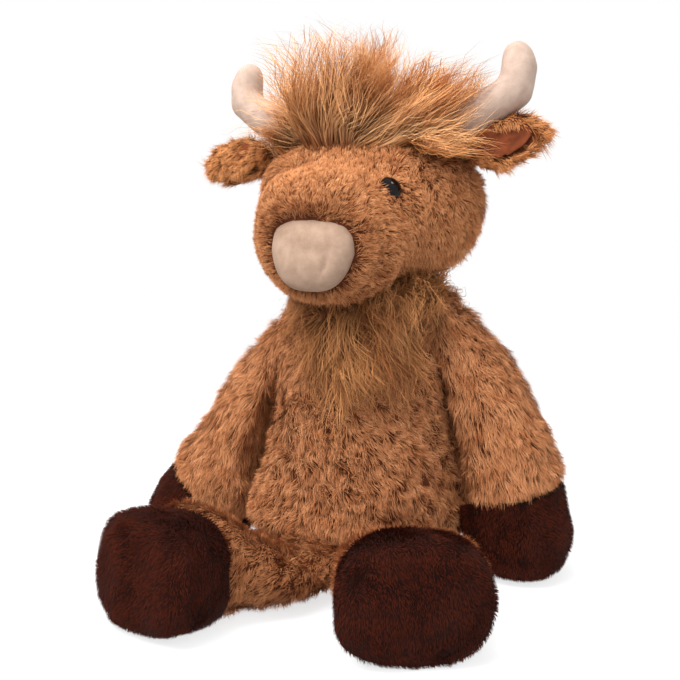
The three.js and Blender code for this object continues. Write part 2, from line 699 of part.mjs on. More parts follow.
function buildLimbs(name, side) {
  const group = new THREE.Group();
  const arm = buildLimb(armForm(side), shoulderPoint(side), shoulderBallRadius, handHoofLength[name],
    shoulderAxis(side), swingAngles(-armRaise, armBackSwing));
  add(group, `arm_sleeve_${name}`, arm.sleeve, finishes.tanPlush);
  add(group, `arm_stuffing_${name}`, arm.stuffing, finishes.stuffing);
  add(group, `hand_hoof_${name}`, arm.hoof, finishes.darkPlush);
  const leg = buildLimb(legForm(side), hipPoint(side), hipBallRadius, footHoofLength,
    xAxis, swingAngles(-legRaise, legDrop));
  add(group, `leg_sleeve_${name}`, leg.sleeve, finishes.tanPlush);
  add(group, `leg_stuffing_${name}`, leg.stuffing, finishes.stuffing);
  add(group, `foot_hoof_${name}`, leg.hoof, finishes.darkPlush);
  return group;
}

cow.add(buildTorso());
add(cow, 'chest_ruff', buildRuff(), finishes.longHair);
cow.add(buildTail());
const head = new THREE.Group();
head.add(buildHead());
head.add(buildCrown());
for (const [name, side] of Object.entries(sides)) {
  cow.add(buildLimbs(name, side));
  head.add(buildEar(name, side));
}

// The whole head is turned on the neck's axis
head.applyMatrix4(turnAbout(neckAxisPoint, zAxis, -headLookAside));
cow.add(head);

// The origin is the middle of the foot of the whole toy's box
const box = new THREE.Box3().setFromObject(cow);
cow.position.set(-(box.min.x + box.max.x) / 2, -(box.min.y + box.max.y) / 2, -box.min.z);

export default cow;
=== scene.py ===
import json
import math

import bmesh
import bpy
import numpy as np
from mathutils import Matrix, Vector
from mathutils.bvhtree import BVHTree


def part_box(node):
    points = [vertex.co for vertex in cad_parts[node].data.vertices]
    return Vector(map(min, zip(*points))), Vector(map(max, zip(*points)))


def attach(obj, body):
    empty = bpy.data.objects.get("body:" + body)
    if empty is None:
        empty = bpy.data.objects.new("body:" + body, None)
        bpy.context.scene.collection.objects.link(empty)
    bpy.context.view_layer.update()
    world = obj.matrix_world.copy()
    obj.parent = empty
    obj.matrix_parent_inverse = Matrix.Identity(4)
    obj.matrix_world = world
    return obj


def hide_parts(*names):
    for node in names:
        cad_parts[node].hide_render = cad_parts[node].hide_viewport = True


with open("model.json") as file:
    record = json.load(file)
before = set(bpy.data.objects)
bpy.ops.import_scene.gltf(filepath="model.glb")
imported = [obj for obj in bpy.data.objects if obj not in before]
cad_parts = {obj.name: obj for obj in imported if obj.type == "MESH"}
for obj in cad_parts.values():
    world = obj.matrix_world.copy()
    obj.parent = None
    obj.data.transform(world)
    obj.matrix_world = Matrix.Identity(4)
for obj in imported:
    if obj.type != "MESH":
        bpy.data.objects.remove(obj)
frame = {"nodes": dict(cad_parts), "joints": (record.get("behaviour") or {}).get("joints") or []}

MM = 0.001
SIDES = {"l": 1, "r": -1}
BODY_OF_SIDE = {"l": "left", "r": "right"}
NECK = Vector(next(j["pos_m"] for j in frame["joints"] if j["name"] == "neck"))
LOOK_ASIDE = math.radians(11)       # how far the head is turned to the toy's right
SPARSE = 1.0     # share of the strands that a quick picture has

bpy.context.view_layer.update()
bpy.context.scene.frame_set(1)
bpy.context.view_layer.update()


# Numbers and colours

def rgb(red, green, blue):
    """A colour given as on a screen, made linear"""
    def linear(v):
        v /= 255
        return v / 12.92 if v <= 0.04045 else ((v + 0.055) / 1.055) ** 2.4
    return (linear(red), linear(green), linear(blue), 1.0)


def ease(low, high, x):
    """0 below low, 1 above high and a smooth rise between them"""
    t = np.clip((x - low) / (high - low), 0, 1)
    return t * t * (3 - 2 * t)


def between(low, rise, fall, high, x):
    """0 below low and above high, 1 from rise to fall, and smooth slopes"""
    return ease(low, rise, x) * (1 - ease(fall, high, x))


def length_of(v):
    return np.linalg.norm(v, axis=1)


def unit(v):
    return v / np.maximum(np.linalg.norm(v, axis=-1, keepdims=True), 1e-9)


def bulge(points, place, width, height):
    """A round swell at a place, as its height at each point"""
    return height * np.exp(-(length_of(points - np.array(place)) / width) ** 2)


def straight(points):
    """Places on the head as they would be if the face looked straight ahead"""
    c, s = math.cos(LOOK_ASIDE), math.sin(LOOK_ASIDE)
    p = points - np.array(NECK)
    return np.stack([c * p[:, 0] - s * p[:, 1], s * p[:, 0] + c * p[:, 1], p[:, 2]], 1) + np.array(NECK)


def turned(directions):
    """Directions on a head that looks straight ahead, turned as the face is"""
    c, s = math.cos(LOOK_ASIDE), math.sin(LOOK_ASIDE)
    d = directions
    return np.stack([c * d[:, 0] + s * d[:, 1], -s * d[:, 0] + c * d[:, 1], d[:, 2]], 1)


# Meshes

def read_points(mesh):
    co = np.empty(len(mesh.vertices) * 3, np.float32)
    mesh.vertices.foreach_get("co", co)
    return co.reshape(-1, 3).astype(float)


def read_normals(mesh):
    normals = np.empty(len(mesh.vertices) * 3, np.float32)
    mesh.vertex_normals.foreach_get("vector", normals)
    return normals.reshape(-1, 3).astype(float)


def read_edges(mesh):
    edges = np.empty(len(mesh.edges) * 2, np.int32)
    mesh.edges.foreach_get("vertices", edges)
    return edges.reshape(-1, 2)


def write_points(mesh, co):
    mesh.vertices.foreach_set("co", co.astype(np.float32).ravel())
    mesh.update()


def write_attribute(mesh, name, values):
    kind = "FLOAT_VECTOR" if values.ndim == 2 else "FLOAT"
    attribute = mesh.attributes.new(name, kind, "POINT")
    attribute.data.foreach_set("vector" if values.ndim == 2 else "value", values.astype(np.float32).ravel())


def averaged(values, edges, rounds, strength=0.5):
    """Values on vertices, each drawn towards its neighbours' mean"""
    count = np.maximum(np.bincount(edges.ravel(), minlength=len(values)), 1)
    if values.ndim == 2:
        count = count[:, None]
    for _ in range(rounds):
        total = np.zeros_like(values)
        np.add.at(total, edges[:, 0], values[edges[:, 1]])
        np.add.at(total, edges[:, 1], values[edges[:, 0]])
        values = values + strength * (total / count - values)
    return values


def new_object(name, mesh):
    obj = bpy.data.objects.new(name, mesh)
    bpy.context.scene.collection.objects.link(obj)
    return obj


def drop(obj):
    mesh = obj.data
    bpy.data.objects.remove(obj)
    if mesh.users == 0:
        bpy.data.meshes.remove(mesh)


def settled(obj):
    """A plain mesh of what an object's modifiers make"""
    graph = bpy.context.evaluated_depsgraph_get()
    return bpy.data.meshes.new_from_object(
        obj.evaluated_get(graph), preserve_all_data_layers=True, depsgraph=graph)


def node_shape(*names):
    """The vertices and faces of CAD nodes, together"""
    points, faces = [], []
    for name in names:
        node = frame["nodes"][name]
        start = len(points)
        points += [node.matrix_world @ v.co for v in node.data.vertices]
        faces += [[start + i for i in p.vertices] for p in node.data.polygons]
    return points, faces


def node_tree(*names):
    return BVHTree.FromPolygons(*node_shape(*names))


def gap_to(points, tree):
    """How far each point is from a shape"""
    return np.array([tree.find_nearest(Vector(p))[3] for p in points])


def outside(points, tree):
    """Whether each point lies outside a smooth closed shape"""
    nearest = [tree.find_nearest(Vector(p)) for p in points]
    return np.array([(Vector(p) - hit[0]).dot(hit[1]) > 0 for p, hit in zip(points, nearest)])


NEAR_SKIN = 4 * MM      # a point further from a skin than this keeps its hair, on either side of it


def object_tree(obj):
    return BVHTree.FromObject(obj, bpy.context.evaluated_depsgraph_get())


def bare_where_covered(points, obj):
    """0 on points that lie just inside another object's skin, else 1"""
    tree = object_tree(obj)
    return np.maximum(outside(points, tree), gap_to(points, tree) > NEAR_SKIN)


def node_middle(name):
    low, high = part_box(name)
    return np.array((Vector(low) + Vector(high)) / 2)


def largest_part(mesh):
    """Leaves only the part of the mesh with the most vertices"""
    shape = bmesh.new()
    shape.from_mesh(mesh)
    left = set(shape.verts)
    parts = []
    while left:
        todo = [left.pop()]
        part = []
        while todo:
            vert = todo.pop()
            part.append(vert)
            for edge in vert.link_edges:
                other = edge.other_vert(vert)
                if other in left:
                    left.remove(other)
                    todo.append(other)
        parts.append(part)
    parts.sort(key=len)
    for part in parts[:-1]:
        bmesh.ops.delete(shape, geom=part, context="VERTS")
    shape.to_mesh(mesh)
    shape.free()


def ball(middle, radii):
    """The vertices and faces of an egg shape"""
    shape = bmesh.new()
    bmesh.ops.create_icosphere(shape, subdivisions=4, radius=1)
    points = [Vector(m + r * c for m, r, c in zip(middle, radii, v.co)) for v in shape.verts]
    faces = [[v.index for v in f.verts] for f in shape.faces]
    shape.free()
    return points, faces


def body_skin(name, nodes, cell, depth, rounds=6, shape_it=None, more=None):
    """One smooth closed skin around CAD nodes, and around one more shape. depth is how far under the tips of
    its pile it lies, a length or a function of places; shape_it moves it further, as a sculptor would."""
    points, faces = node_shape(*nodes)
    if more is not None:
        faces += [[len(points) + i for i in face] for face in more[1]]
        points += more[0]
    mesh = bpy.data.meshes.new(name)
    mesh.from_pydata(points, [], faces)
    obj = new_object(name, mesh)
    remesh = obj.modifiers.new("Remesh", "REMESH")
    remesh.mode = "VOXEL"
    remesh.voxel_size = cell
    fine = settled(obj)
    drop(obj)
    largest_part(fine)
    fine.name = name
    edges = read_edges(fine)
    co = averaged(read_points(fine), edges, rounds)
    write_points(fine, co)
    normals = averaged(read_normals(fine), edges, 4)
    sunk = depth(co) if callable(depth) else np.full(len(co), depth)
    co = co - unit(normals) * sunk[:, None]
    if shape_it is not None:
        write_points(fine, co)
        co = co + shape_it(co, unit(averaged(read_normals(fine), edges, 2)))
    co = averaged(co, edges, 2)
    write_points(fine, co)
    fine.polygons.foreach_set("use_smooth", [True] * len(fine.polygons))
    return new_object(name, fine)


# Node trees

class Tree:
    """Adds nodes to a tree, with their values and links in the order of their sockets"""

    def __init__(self, tree):
        self.tree = tree

    def node(self, kind, *values, **settings):
        node = self.tree.nodes.new(kind)
        for key, value in settings.items():
            setattr(node, key, value)
        for socket, value in zip([s for s in node.inputs if s.enabled], values):
            if isinstance(value, bpy.types.NodeSocket):
                self.tree.links.new(value, socket)
            elif value is not None:
                socket.default_value = value
        return node

    def out(self, kind, *values, which=0, **settings):
        node = self.node(kind, *values, **settings)
        return [s for s in node.outputs if s.enabled][which]

    def math(self, operation, *values):
        return self.out("ShaderNodeMath", *values, operation=operation)

    def vector(self, operation, *values):
        return self.out("ShaderNodeVectorMath", *values, operation=operation)

    def scale(self, vector, factor):
        return self.out("ShaderNodeVectorMath", vector, factor, operation="SCALE")

    def plus(self, *vectors):
        total = vectors[0]
        for other in vectors[1:]:
            total = self.vector("ADD", total, other)
        return total

    def times(self, *numbers):
        total = numbers[0]
        for other in numbers[1:]:
            total = self.math("MULTIPLY", total, other)
        return total

    def dot(self, a, b):
        return self.out("ShaderNodeVectorMath", a, b, operation="DOT_PRODUCT")

    def across(self, vector, normal, share=1.0):
        """The vector less its share along the normal"""
        along = self.times(self.dot(vector, normal), share)
        return self.vector("SUBTRACT", vector, self.scale(normal, along))

    def read(self, name, kind="FLOAT"):
        return self.out("GeometryNodeInputNamedAttribute", name, data_type=kind)

    def keep(self, geometry, name, value, kind="FLOAT", domain="POINT"):
        return self.out("GeometryNodeStoreNamedAttribute", geometry, None, name, value, data_type=kind,
                        domain=domain)


# The sizes of a pile, and what they are where it doesn't give its own
PILE_SIZES = {
    "Density": 1.0e6,           # hairs on a square metre
    "Length": 10 * MM,
    "Length Spread": 0.3,       # share that the shortest hairs lack
    "Width": 0.4 * MM,
    "Lift": 0.4,                # 0 lies along the nap, 1 stands straight up
    "Bend": 0.2,                # how far tips bend back to the skin, as a share of their length
    "Tousle": 0.3,              # how much hairs that stand together lean another way
    "Tousle Size": 20 * MM,
    "Frizz": 0.15,              # how much each hair leans by itself
    "Clump": 0.5,               # how far tips are drawn to the middle of their lock
    "Clump Size": 6 * MM,
    "Fine Clump": 0.3,          # the same in the small locks of a lock
    "Droop": 0.0,
    "Curl": 0.0,
    "Curl Size": 20 * MM,
    "Tone Spread": 0.3,         # how much locks and hairs differ in tone
    "Patch": 0.3,               # how much larger patches differ in tone
    "Roundness": 0.8,           # how round each lock is shaded
    "Lie": 1.0,                 # 1 combs the nap flat along the skin
    "Crest": 1.0,               # height above which hairs are pressed down
}
NOISE_GAIN = 3.0                # noise keeps near its middle, so it is stretched by this
FINE_LOCKS = 2.9                # small locks across a lock
PATCHES = 0.6                   # patches across a lock
GATHER_POWER = 1.4              # tips gather more than roots
ROOT_DEPTH = 0.8 * MM
GROUND_GAP = 0.2 * MM           # no hair goes below this height
CREST_PRESS = 0.45              # share of what stands above the crest that is pressed down
LOCK_ROUND, FINE_ROUND = -1.6, -2.0     # how far normals turn outwards from the middle of their lock
BLADE_ROLL = -1.5               # and how far blades do
WELD = 0.0001                   # of a blade's unit length
TONES = (0.03, 0.97)            # the darkest and the lightest that a hair may be
EDGE_TONE = 0.05                # how much lighter one edge of a blade is than its middle


def pile_tree():
    """Hairs that stand on a surface: nap says which way they lie, reach how long and cover how dense they are,
    and sweep, where there is one, how they bend aside"""
    tree = bpy.data.node_groups.new("Pile", "GeometryNodeTree")
    face = tree.interface
    face.new_socket("Geometry", in_out="INPUT", socket_type="NodeSocketGeometry")
    for name in PILE_SIZES:
        face.new_socket(name, in_out="INPUT", socket_type="NodeSocketFloat")
    face.new_socket("Segments", in_out="INPUT", socket_type="NodeSocketInt")
    face.new_socket("Seed", in_out="INPUT", socket_type="NodeSocketInt")
    face.new_socket("Material", in_out="INPUT", socket_type="NodeSocketMaterial")
    face.new_socket("Geometry", in_out="OUTPUT", socket_type="NodeSocketGeometry")
    t = Tree(tree)
    given = {s.name: s for s in t.node("NodeGroupInput").outputs if s.name}

    spread = t.node("GeometryNodeDistributePointsOnFaces", given["Geometry"], None,
                    t.times(given["Density"], t.read("cover")), given["Seed"], distribute_method="RANDOM")
    points, normal = spread.outputs["Points"], spread.outputs["Normal"]
    points = t.keep(points, "face_normal", normal, "FLOAT_VECTOR")
    normal = t.read("face_normal", "FLOAT_VECTOR")
    place = t.out("GeometryNodeInputPosition")
    points = t.keep(points, "root", place, "FLOAT_VECTOR")

    lying = t.vector("NORMALIZE", t.across(t.read("nap", "FLOAT_VECTOR"), normal, given["Lie"]))
    wind = t.out("ShaderNodeTexNoise", place, t.math("DIVIDE", 1.0, given["Tousle Size"]), 1.0, which=1)
    wind = t.scale(t.vector("SUBTRACT", wind, (0.5, 0.5, 0.5)), t.times(given["Tousle"], NOISE_GAIN))
    random = t.out("FunctionNodeRandomValue", (-1, -1, -1), (1, 1, 1), None, 3, data_type="FLOAT_VECTOR")
    flat = t.scale(lying, t.math("SUBTRACT", 1.0, given["Lift"]))
    heading = t.vector("NORMALIZE", t.plus(
        flat, t.scale(normal, given["Lift"]), wind, t.scale(random, given["Frizz"])))
    points = t.keep(points, "heading", heading, "FLOAT_VECTOR")
    short = t.out("FunctionNodeRandomValue", 0.0, given["Length Spread"], None, 5, data_type="FLOAT")
    length = t.times(given["Length"], t.read("reach"), t.math("SUBTRACT", 1.0, short))
    points = t.keep(points, "length", length)

    cells = t.node("ShaderNodeTexVoronoi", place, t.math("DIVIDE", 1.0, given["Clump Size"]))
    pull = t.across(t.vector("SUBTRACT", cells.outputs["Position"], place), normal)
    points = t.keep(points, "pull", pull, "FLOAT_VECTOR")
    small = t.node("ShaderNodeTexVoronoi", place, t.math("DIVIDE", FINE_LOCKS, given["Clump Size"]))
    points = t.keep(points, "fine_pull", t.across(
        t.vector("SUBTRACT", small.outputs["Position"], place), normal), "FLOAT_VECTOR")
    patch = t.out("ShaderNodeTexNoise", place, t.math("DIVIDE", PATCHES, given["Clump Size"]), 2.0)
    patch = t.times(t.math("SUBTRACT", patch, 0.5), given["Patch"], NOISE_GAIN)
    lock = t.out("ShaderNodeSeparateXYZ", cells.outputs["Color"])
    lock = t.times(t.math("SUBTRACT", lock, 0.5), given["Tone Spread"])
    single = t.out("FunctionNodeRandomValue", -0.5, 0.5, None, 7, data_type="FLOAT")
    single = t.times(single, given["Tone Spread"])
    tone = t.math("ADD", 0.5, t.math("ADD", patch, t.math("ADD", lock, single)))
    tone = t.math("MINIMUM", TONES[1], t.math("MAXIMUM", TONES[0], tone))
    points = t.keep(points, "tone", tone)

    count = t.math("ADD", given["Segments"], 1.0)
    blade = t.out("GeometryNodeMeshGrid", 1.0, 1.0, 2, count)
    x = t.out("ShaderNodeSeparateXYZ", t.out("GeometryNodeInputPosition"), which=0)
    y = t.out("ShaderNodeSeparateXYZ", t.out("GeometryNodeInputPosition"), which=1)
    along = t.math("ADD", y, 0.5)
    blade = t.keep(blade, "along", along)
    narrow = t.math("SQRT", t.math("MAXIMUM", 0.0, t.math("SUBTRACT", 1.0, t.read("along"))))
    blade = t.keep(blade, "side", t.times(x, narrow))
    blade = t.out("GeometryNodeSetPosition", blade, None, t.out(
        "ShaderNodeCombineXYZ", t.read("side"), t.read("along"), 0.0))
    blade = t.out("GeometryNodeMergeByDistance", blade, None, WELD)
    hairs = t.out("GeometryNodeInstanceOnPoints", points, None, blade)
    hairs = t.out("GeometryNodeRealizeInstances", hairs)

    s = t.read("along")
    s2 = t.times(s, s)
    root = t.read("root", "FLOAT_VECTOR")
    up = t.read("face_normal", "FLOAT_VECTOR")
    heading = t.read("heading", "FLOAT_VECTOR")
    length = t.read("length")
    pull = t.read("pull", "FLOAT_VECTOR")
    fine_pull = t.read("fine_pull", "FLOAT_VECTOR")
    wave = t.plus(t.scale(root, t.math("DIVIDE", 1.0, given["Curl Size"])), t.scale(heading, t.times(s, 2.0)))
    wave = t.vector("SUBTRACT", t.out("ShaderNodeTexNoise", wave, 1.0, 1.0, which=1), (0.5, 0.5, 0.5))
    gather = t.math("POWER", s, GATHER_POWER)
    middle = t.plus(
        root,
        t.scale(up, t.times(given["Bend"], s2, length, -1.0)),
        t.scale(heading, t.times(s, length)),
        t.scale(up, -ROOT_DEPTH),
        t.scale(pull, t.times(gather, given["Clump"])),
        t.scale(fine_pull, t.times(gather, given["Fine Clump"])),
        t.out("ShaderNodeCombineXYZ", 0.0, 0.0, t.times(s2, length, given["Droop"], -1.0)),
        t.scale(t.read("sweep", "FLOAT_VECTOR"), t.times(s2, length)),
        t.scale(wave, t.times(given["Curl"], s, length, 2.0)))
    roll = t.scale(fine_pull, t.math("DIVIDE", BLADE_ROLL, given["Clump Size"]))
    roll = t.vector("NORMALIZE", t.plus(up, roll))
    sideways = t.vector("NORMALIZE", t.vector("CROSS_PRODUCT", heading, roll))
    edge = t.plus(middle, t.scale(sideways, t.times(t.read("side"), given["Width"])))
    split = t.node("ShaderNodeSeparateXYZ", edge)
    above = t.math("MAXIMUM", split.outputs[2], GROUND_GAP)
    over = t.math("MAXIMUM", 0.0, t.math("SUBTRACT", above, given["Crest"]))
    above = t.math("SUBTRACT", above, t.times(over, CREST_PRESS))
    edge = t.out("ShaderNodeCombineXYZ", split.outputs[0], split.outputs[1], above)
    hairs = t.out("GeometryNodeSetPosition", hairs, None, edge)

    lock_round = t.math("DIVIDE", t.math("MULTIPLY", LOCK_ROUND, given["Roundness"]), given["Clump Size"])
    fine_round = t.math("DIVIDE", t.math("MULTIPLY", FINE_ROUND, given["Roundness"]), given["Clump Size"])
    soft = t.plus(up, t.scale(pull, lock_round), t.scale(fine_pull, fine_round))
    soft = t.vector("NORMALIZE", t.across(soft, heading, 0.5))
    hairs = t.out("GeometryNodeSetMeshNormal", hairs, soft, mode="FREE", domain="POINT")
    tone = t.math("ADD", t.read("tone"), t.times(t.read("side"), EDGE_TONE))
    value = t.out("ShaderNodeCombineXYZ", s, tone, 0.0)
    for name in ("pile", "OFBake"):
        hairs = t.keep(hairs, name, value, "FLOAT2", "CORNER")
    hairs = t.out("GeometryNodeSetMaterial", hairs, None, given["Material"])
    t.node("NodeGroupOutput", hairs)
    return tree


PILE = pile_tree()
SCRATCH = ("nap", "reach", "cover", "sweep", "face_normal", "root", "heading", "length", "pull", "fine_pull",
           "tone", "along", "side")


def grow(name, skin, fields, material, segments=2, seed=1, **sizes):
    """Hairs on a skin, as one plain mesh. fields gives nap, reach and cover from the skin's places and normals,
    and for the forelock also its sweep."""
    ground = skin.data.copy()
    co, normals = read_points(ground), read_normals(ground)
    for key, values in zip(("nap", "reach", "cover", "sweep"), fields(co, normals)):
        write_attribute(ground, key, values)
    obj = new_object(name, ground)
    modifier = obj.modifiers.new("Pile", "NODES")
    modifier.node_group = PILE
    numbers = dict(PILE_SIZES)
    numbers.update({key.replace("_", " ").title(): value for key, value in sizes.items()})
    numbers["Density"] *= SPARSE
    numbers["Segments"] = segments
    numbers["Seed"] = seed
    numbers["Material"] = material
    for item in PILE.interface.items_tree:
        if item.in_out == "INPUT" and item.name in numbers:
            modifier[item.identifier] = numbers[item.name]
    mesh = settled(obj)
    drop(obj)
    mesh.name = name
    for key in SCRATCH:
        if key in mesh.attributes:
            mesh.attributes.remove(mesh.attributes[key])
    return new_object(name, mesh)


# Materials

def material(name):
    made = bpy.data.materials.new(name)
    made.use_nodes = True
    made.node_tree.nodes.clear()
    return made, Tree(made.node_tree)


def shaded(t, colour, roughness, specular=0.3, sheen=0.0, sheen_tint=(1, 1, 1, 1), bump=None):
    node = t.node("ShaderNodeBsdfPrincipled")
    if isinstance(colour, bpy.types.NodeSocket):
        t.tree.links.new(colour, node.inputs["Base Color"])
    else:
        node.inputs["Base Color"].default_value = colour
    node.inputs["Roughness"].default_value = roughness
    node.inputs["Specular IOR Level"].default_value = specular
    node.inputs["Sheen Weight"].default_value = sheen
    node.inputs["Sheen Tint"].default_value = sheen_tint
    if bump is not None:
        t.tree.links.new(bump, node.inputs["Normal"])
    t.node("ShaderNodeOutputMaterial", node.outputs[0])


def shader_group(name, inputs, outputs):
    """An empty node group for materials, and its inputs by name"""
    tree = bpy.data.node_groups.new(name, "ShaderNodeTree")
    for in_out, sockets in (("INPUT", inputs), ("OUTPUT", outputs)):
        for label, kind in sockets.items():
            tree.interface.new_socket(label, in_out=in_out, socket_type=f"NodeSocket{kind}")
    t = Tree(tree)
    return t, {s.name: s for s in t.node("NodeGroupInput").outputs if s.name}


PAINTED_ROOT_SHADE_ENDS = (0.05, 0.6)         # along a hair, where the root's darker colour, painted shade of the pile's depth, gives way to its own
# along a hair, where the tip's painted light starts
PAINTED_TIP_LIGHT_STARTS = 0.5


def hair_colour_group():
    """Hair of one of several tones, darker at its root as painted shade of the pile's depth, and lighter by a
    gain towards its tip as painted light that the tips catch
    """
    t, given = shader_group(
        "Hair colour",
        {"Along": "Float", "Tone": "Float", "Painted Root Shade": "Color", "Low": "Color", "High": "Color",
         "Painted Tip Light": "Float"},
        {"Color": "Color"})
    body = t.out("ShaderNodeMix", given["Tone"], given["Low"], given["High"], data_type="RGBA")
    gain = t.out("ShaderNodeCombineColor", given["Painted Tip Light"], given["Painted Tip Light"], given["Painted Tip Light"])
    tip = t.out("ShaderNodeMix", 1.0, body, gain, data_type="RGBA", blend_type="MULTIPLY", clamp_factor=False)
    rise = t.out("ShaderNodeMapRange", given["Along"], *PAINTED_ROOT_SHADE_ENDS, 0.0, 1.0)
    colour = t.out("ShaderNodeMix", rise, given["Painted Root Shade"], body, data_type="RGBA")
    end = t.out("ShaderNodeMapRange", given["Along"], PAINTED_TIP_LIGHT_STARTS, 1.0, 0.0, 1.0)
    t.node("NodeGroupOutput", t.out("ShaderNodeMix", end, colour, tip, data_type="RGBA"))
    return t.tree


BLOTCH_SHARE = 0.65             # of the mottling, and the grain has the rest


def velour_group():
    """The mottling of short velour, in patches and in its grain, and the grain's height"""
    t, given = shader_group(
        "Velour",
        {"Place": "Vector", "Patch": "Float", "Grain": "Float", "Dark": "Color", "Light": "Color"},
        {"Color": "Color", "Height": "Float"})
    blotch = t.out("ShaderNodeTexNoise", given["Place"], t.math("DIVIDE", 1.0, given["Patch"]), 3.0)
    fine = t.out("ShaderNodeTexNoise", given["Place"], t.math("DIVIDE", 1.0, given["Grain"]), 2.0)
    blend = t.math("ADD", t.times(blotch, BLOTCH_SHARE), t.times(fine, 1 - BLOTCH_SHARE))
    blend = t.out("ShaderNodeMapRange", blend, 0.35, 0.65, 0.0, 1.0)
    colour = t.out("ShaderNodeMix", blend, given["Dark"], given["Light"], data_type="RGBA")
    t.node("NodeGroupOutput", colour, fine)
    return t.tree


VELOUR_PATCH, VELOUR_GRAIN, VELOUR_HEIGHT = 8 * MM, 0.5 * MM, 0.2 * MM
OBJECT_PLACE = 3                # which output of a Texture Coordinate node gives places on the object itself
HAIR_COLOUR = hair_colour_group()
VELOUR = velour_group()


def pile_material(name, root, low, high, painted_tip_light=1.12, roughness=0.75, sheen=0.12, specular=0.12):
    """Hairs darkened at the root by painted shade of the pile's depth and lightened at the tip by painted
    light. low and high are the darkest and lightest of them.
    """
    made, t = material(name)
    where = t.node("ShaderNodeSeparateXYZ", t.out("ShaderNodeUVMap", uv_map="pile"))
    colour = t.out("ShaderNodeGroup", where.outputs[0], where.outputs[1], root, low, high, painted_tip_light,
                   node_tree=HAIR_COLOUR)
    shaded(t, colour, roughness, specular, sheen, high)
    return made


def cloth_material(name, dark, light):
    """Short velour, mottled between two colours"""
    made, t = material(name)
    place = t.out("ShaderNodeTexCoord", which=OBJECT_PLACE)
    velour = t.node("ShaderNodeGroup", place, VELOUR_PATCH, VELOUR_GRAIN, dark, light, node_tree=VELOUR)
    bump = t.out("ShaderNodeBump", 0.3, VELOUR_HEIGHT, None, velour.outputs["Height"])
    shaded(t, velour.outputs["Color"], 0.85, 0.2, 0.3, light, bump)
    return made


WASHER_GRAINS = 900.0           # per metre


def bead_material():
    made, t = material("Black bead")
    shaded(t, rgb(9, 6, 6), 0.05, 0.3)
    return made


def washer_material():
    made, t = material("Washer plastic")
    place = t.out("ShaderNodeTexCoord", which=OBJECT_PLACE)
    grain = t.out("ShaderNodeTexNoise", place, WASHER_GRAINS, 2.0)
    shaded(t, t.out("ShaderNodeMix", grain, rgb(225, 222, 214), rgb(240, 238, 232), data_type="RGBA"), 0.45)
    return made


SILKY = (1.1, 0.55, 0.0, 0.2)       # painted light at the tip as a gain, roughness, sheen and specular of long hair
# Each pile's first colour is painted shade deep in the pile at its roots, and its tip gain is painted light on
# its tips
LOOKS = {
    "fur": pile_material("Tan plush", rgb(84, 40, 20), rgb(158, 94, 55), rgb(212, 150, 104)),
    "leg fur": pile_material("Leg plush", rgb(76, 35, 17), rgb(144, 83, 47), rgb(198, 136, 92)),
    "face fur": pile_material("Face plush", rgb(104, 54, 28), rgb(158, 94, 54), rgb(212, 150, 102)),
    "long": pile_material("Long hair", rgb(104, 54, 24), rgb(168, 104, 54), rgb(236, 184, 130), *SILKY),
    "ruff": pile_material("Ruff hair", rgb(52, 23, 9), rgb(104, 55, 26), rgb(190, 132, 82), *SILKY),
    "hoof fur": pile_material("Dark plush", rgb(22, 7, 3), rgb(46, 15, 7), rgb(82, 34, 20), 1.08, 0.8, 0.05),
    "ear fur": pile_material("Ear plush", rgb(60, 27, 11), rgb(146, 84, 44), rgb(208, 144, 92)),
    "pale fuzz": pile_material("Pale velour pile", rgb(150, 130, 118), rgb(172, 150, 137), rgb(198, 178, 166),
                               1.05),
    "nose fuzz": pile_material("Nose velour pile", rgb(138, 112, 96), rgb(158, 132, 114), rgb(184, 160, 140),
                               1.05),
    # The backing cloths under the pile are coloured as the shade deep in the pile: painted shade
    "under": cloth_material("Backing cloth in painted pile shade", rgb(60, 27, 12), rgb(92, 46, 23)),
    "under hoof": cloth_material("Dark backing in painted pile shade", rgb(20, 6, 3), rgb(40, 13, 7)),
    "beige": cloth_material("Beige velour", rgb(160, 138, 124), rgb(182, 160, 146)),
    "nose": cloth_material("Nose velour", rgb(142, 116, 98), rgb(166, 140, 121)),
    "rust": cloth_material("Rust velour", rgb(70, 32, 17), rgb(108, 54, 30)),
    "bead": bead_material(),
    "washer": washer_material(),
}


# Piles, by the sizes that are their own

FUR = dict(density=1.33e6, length=12 * MM, width=0.5 * MM, lift=0.5, bend=0.35, tousle=0.7,
           tousle_size=11 * MM, frizz=0.2, clump=0.85, clump_size=4.8 * MM, fine_clump=0.35, tone_spread=0.4,
           patch=0.4)
ARM = dict(FUR, length=15 * MM, lift=0.42, tousle=0.4, tousle_size=16 * MM, clump=0.7, clump_size=6 * MM)
TAIL = dict(FUR, length=8 * MM)
FACE = dict(FUR, density=2.05e6, length=10.5 * MM, clump_size=3.6 * MM, tousle=0.45, tousle_size=8 * MM,
            lift=0.55, width=0.42 * MM, clump=0.75, fine_clump=0.25)
EAR = dict(FUR, density=2.6e6, length=12.5 * MM, clump_size=5.5 * MM, lift=0.4, tousle=0.6)
FRINGE = dict(EAR, length=10 * MM)
HOOF = dict(density=1.12e6, length=6 * MM, width=0.51 * MM, lift=0.6, bend=0.3, tousle=0.4,
            tousle_size=22 * MM, clump=0.15, clump_size=9 * MM, fine_clump=0.1, tone_spread=0.16, patch=0.3,
            roundness=0.2)
FUZZ = dict(density=3.0e6, length=1.6 * MM, width=0.22 * MM, lift=0.6, tousle=0.4, tousle_size=8 * MM,
            clump=0.3, clump_size=2.5 * MM, patch=0.9, tone_spread=0.9)
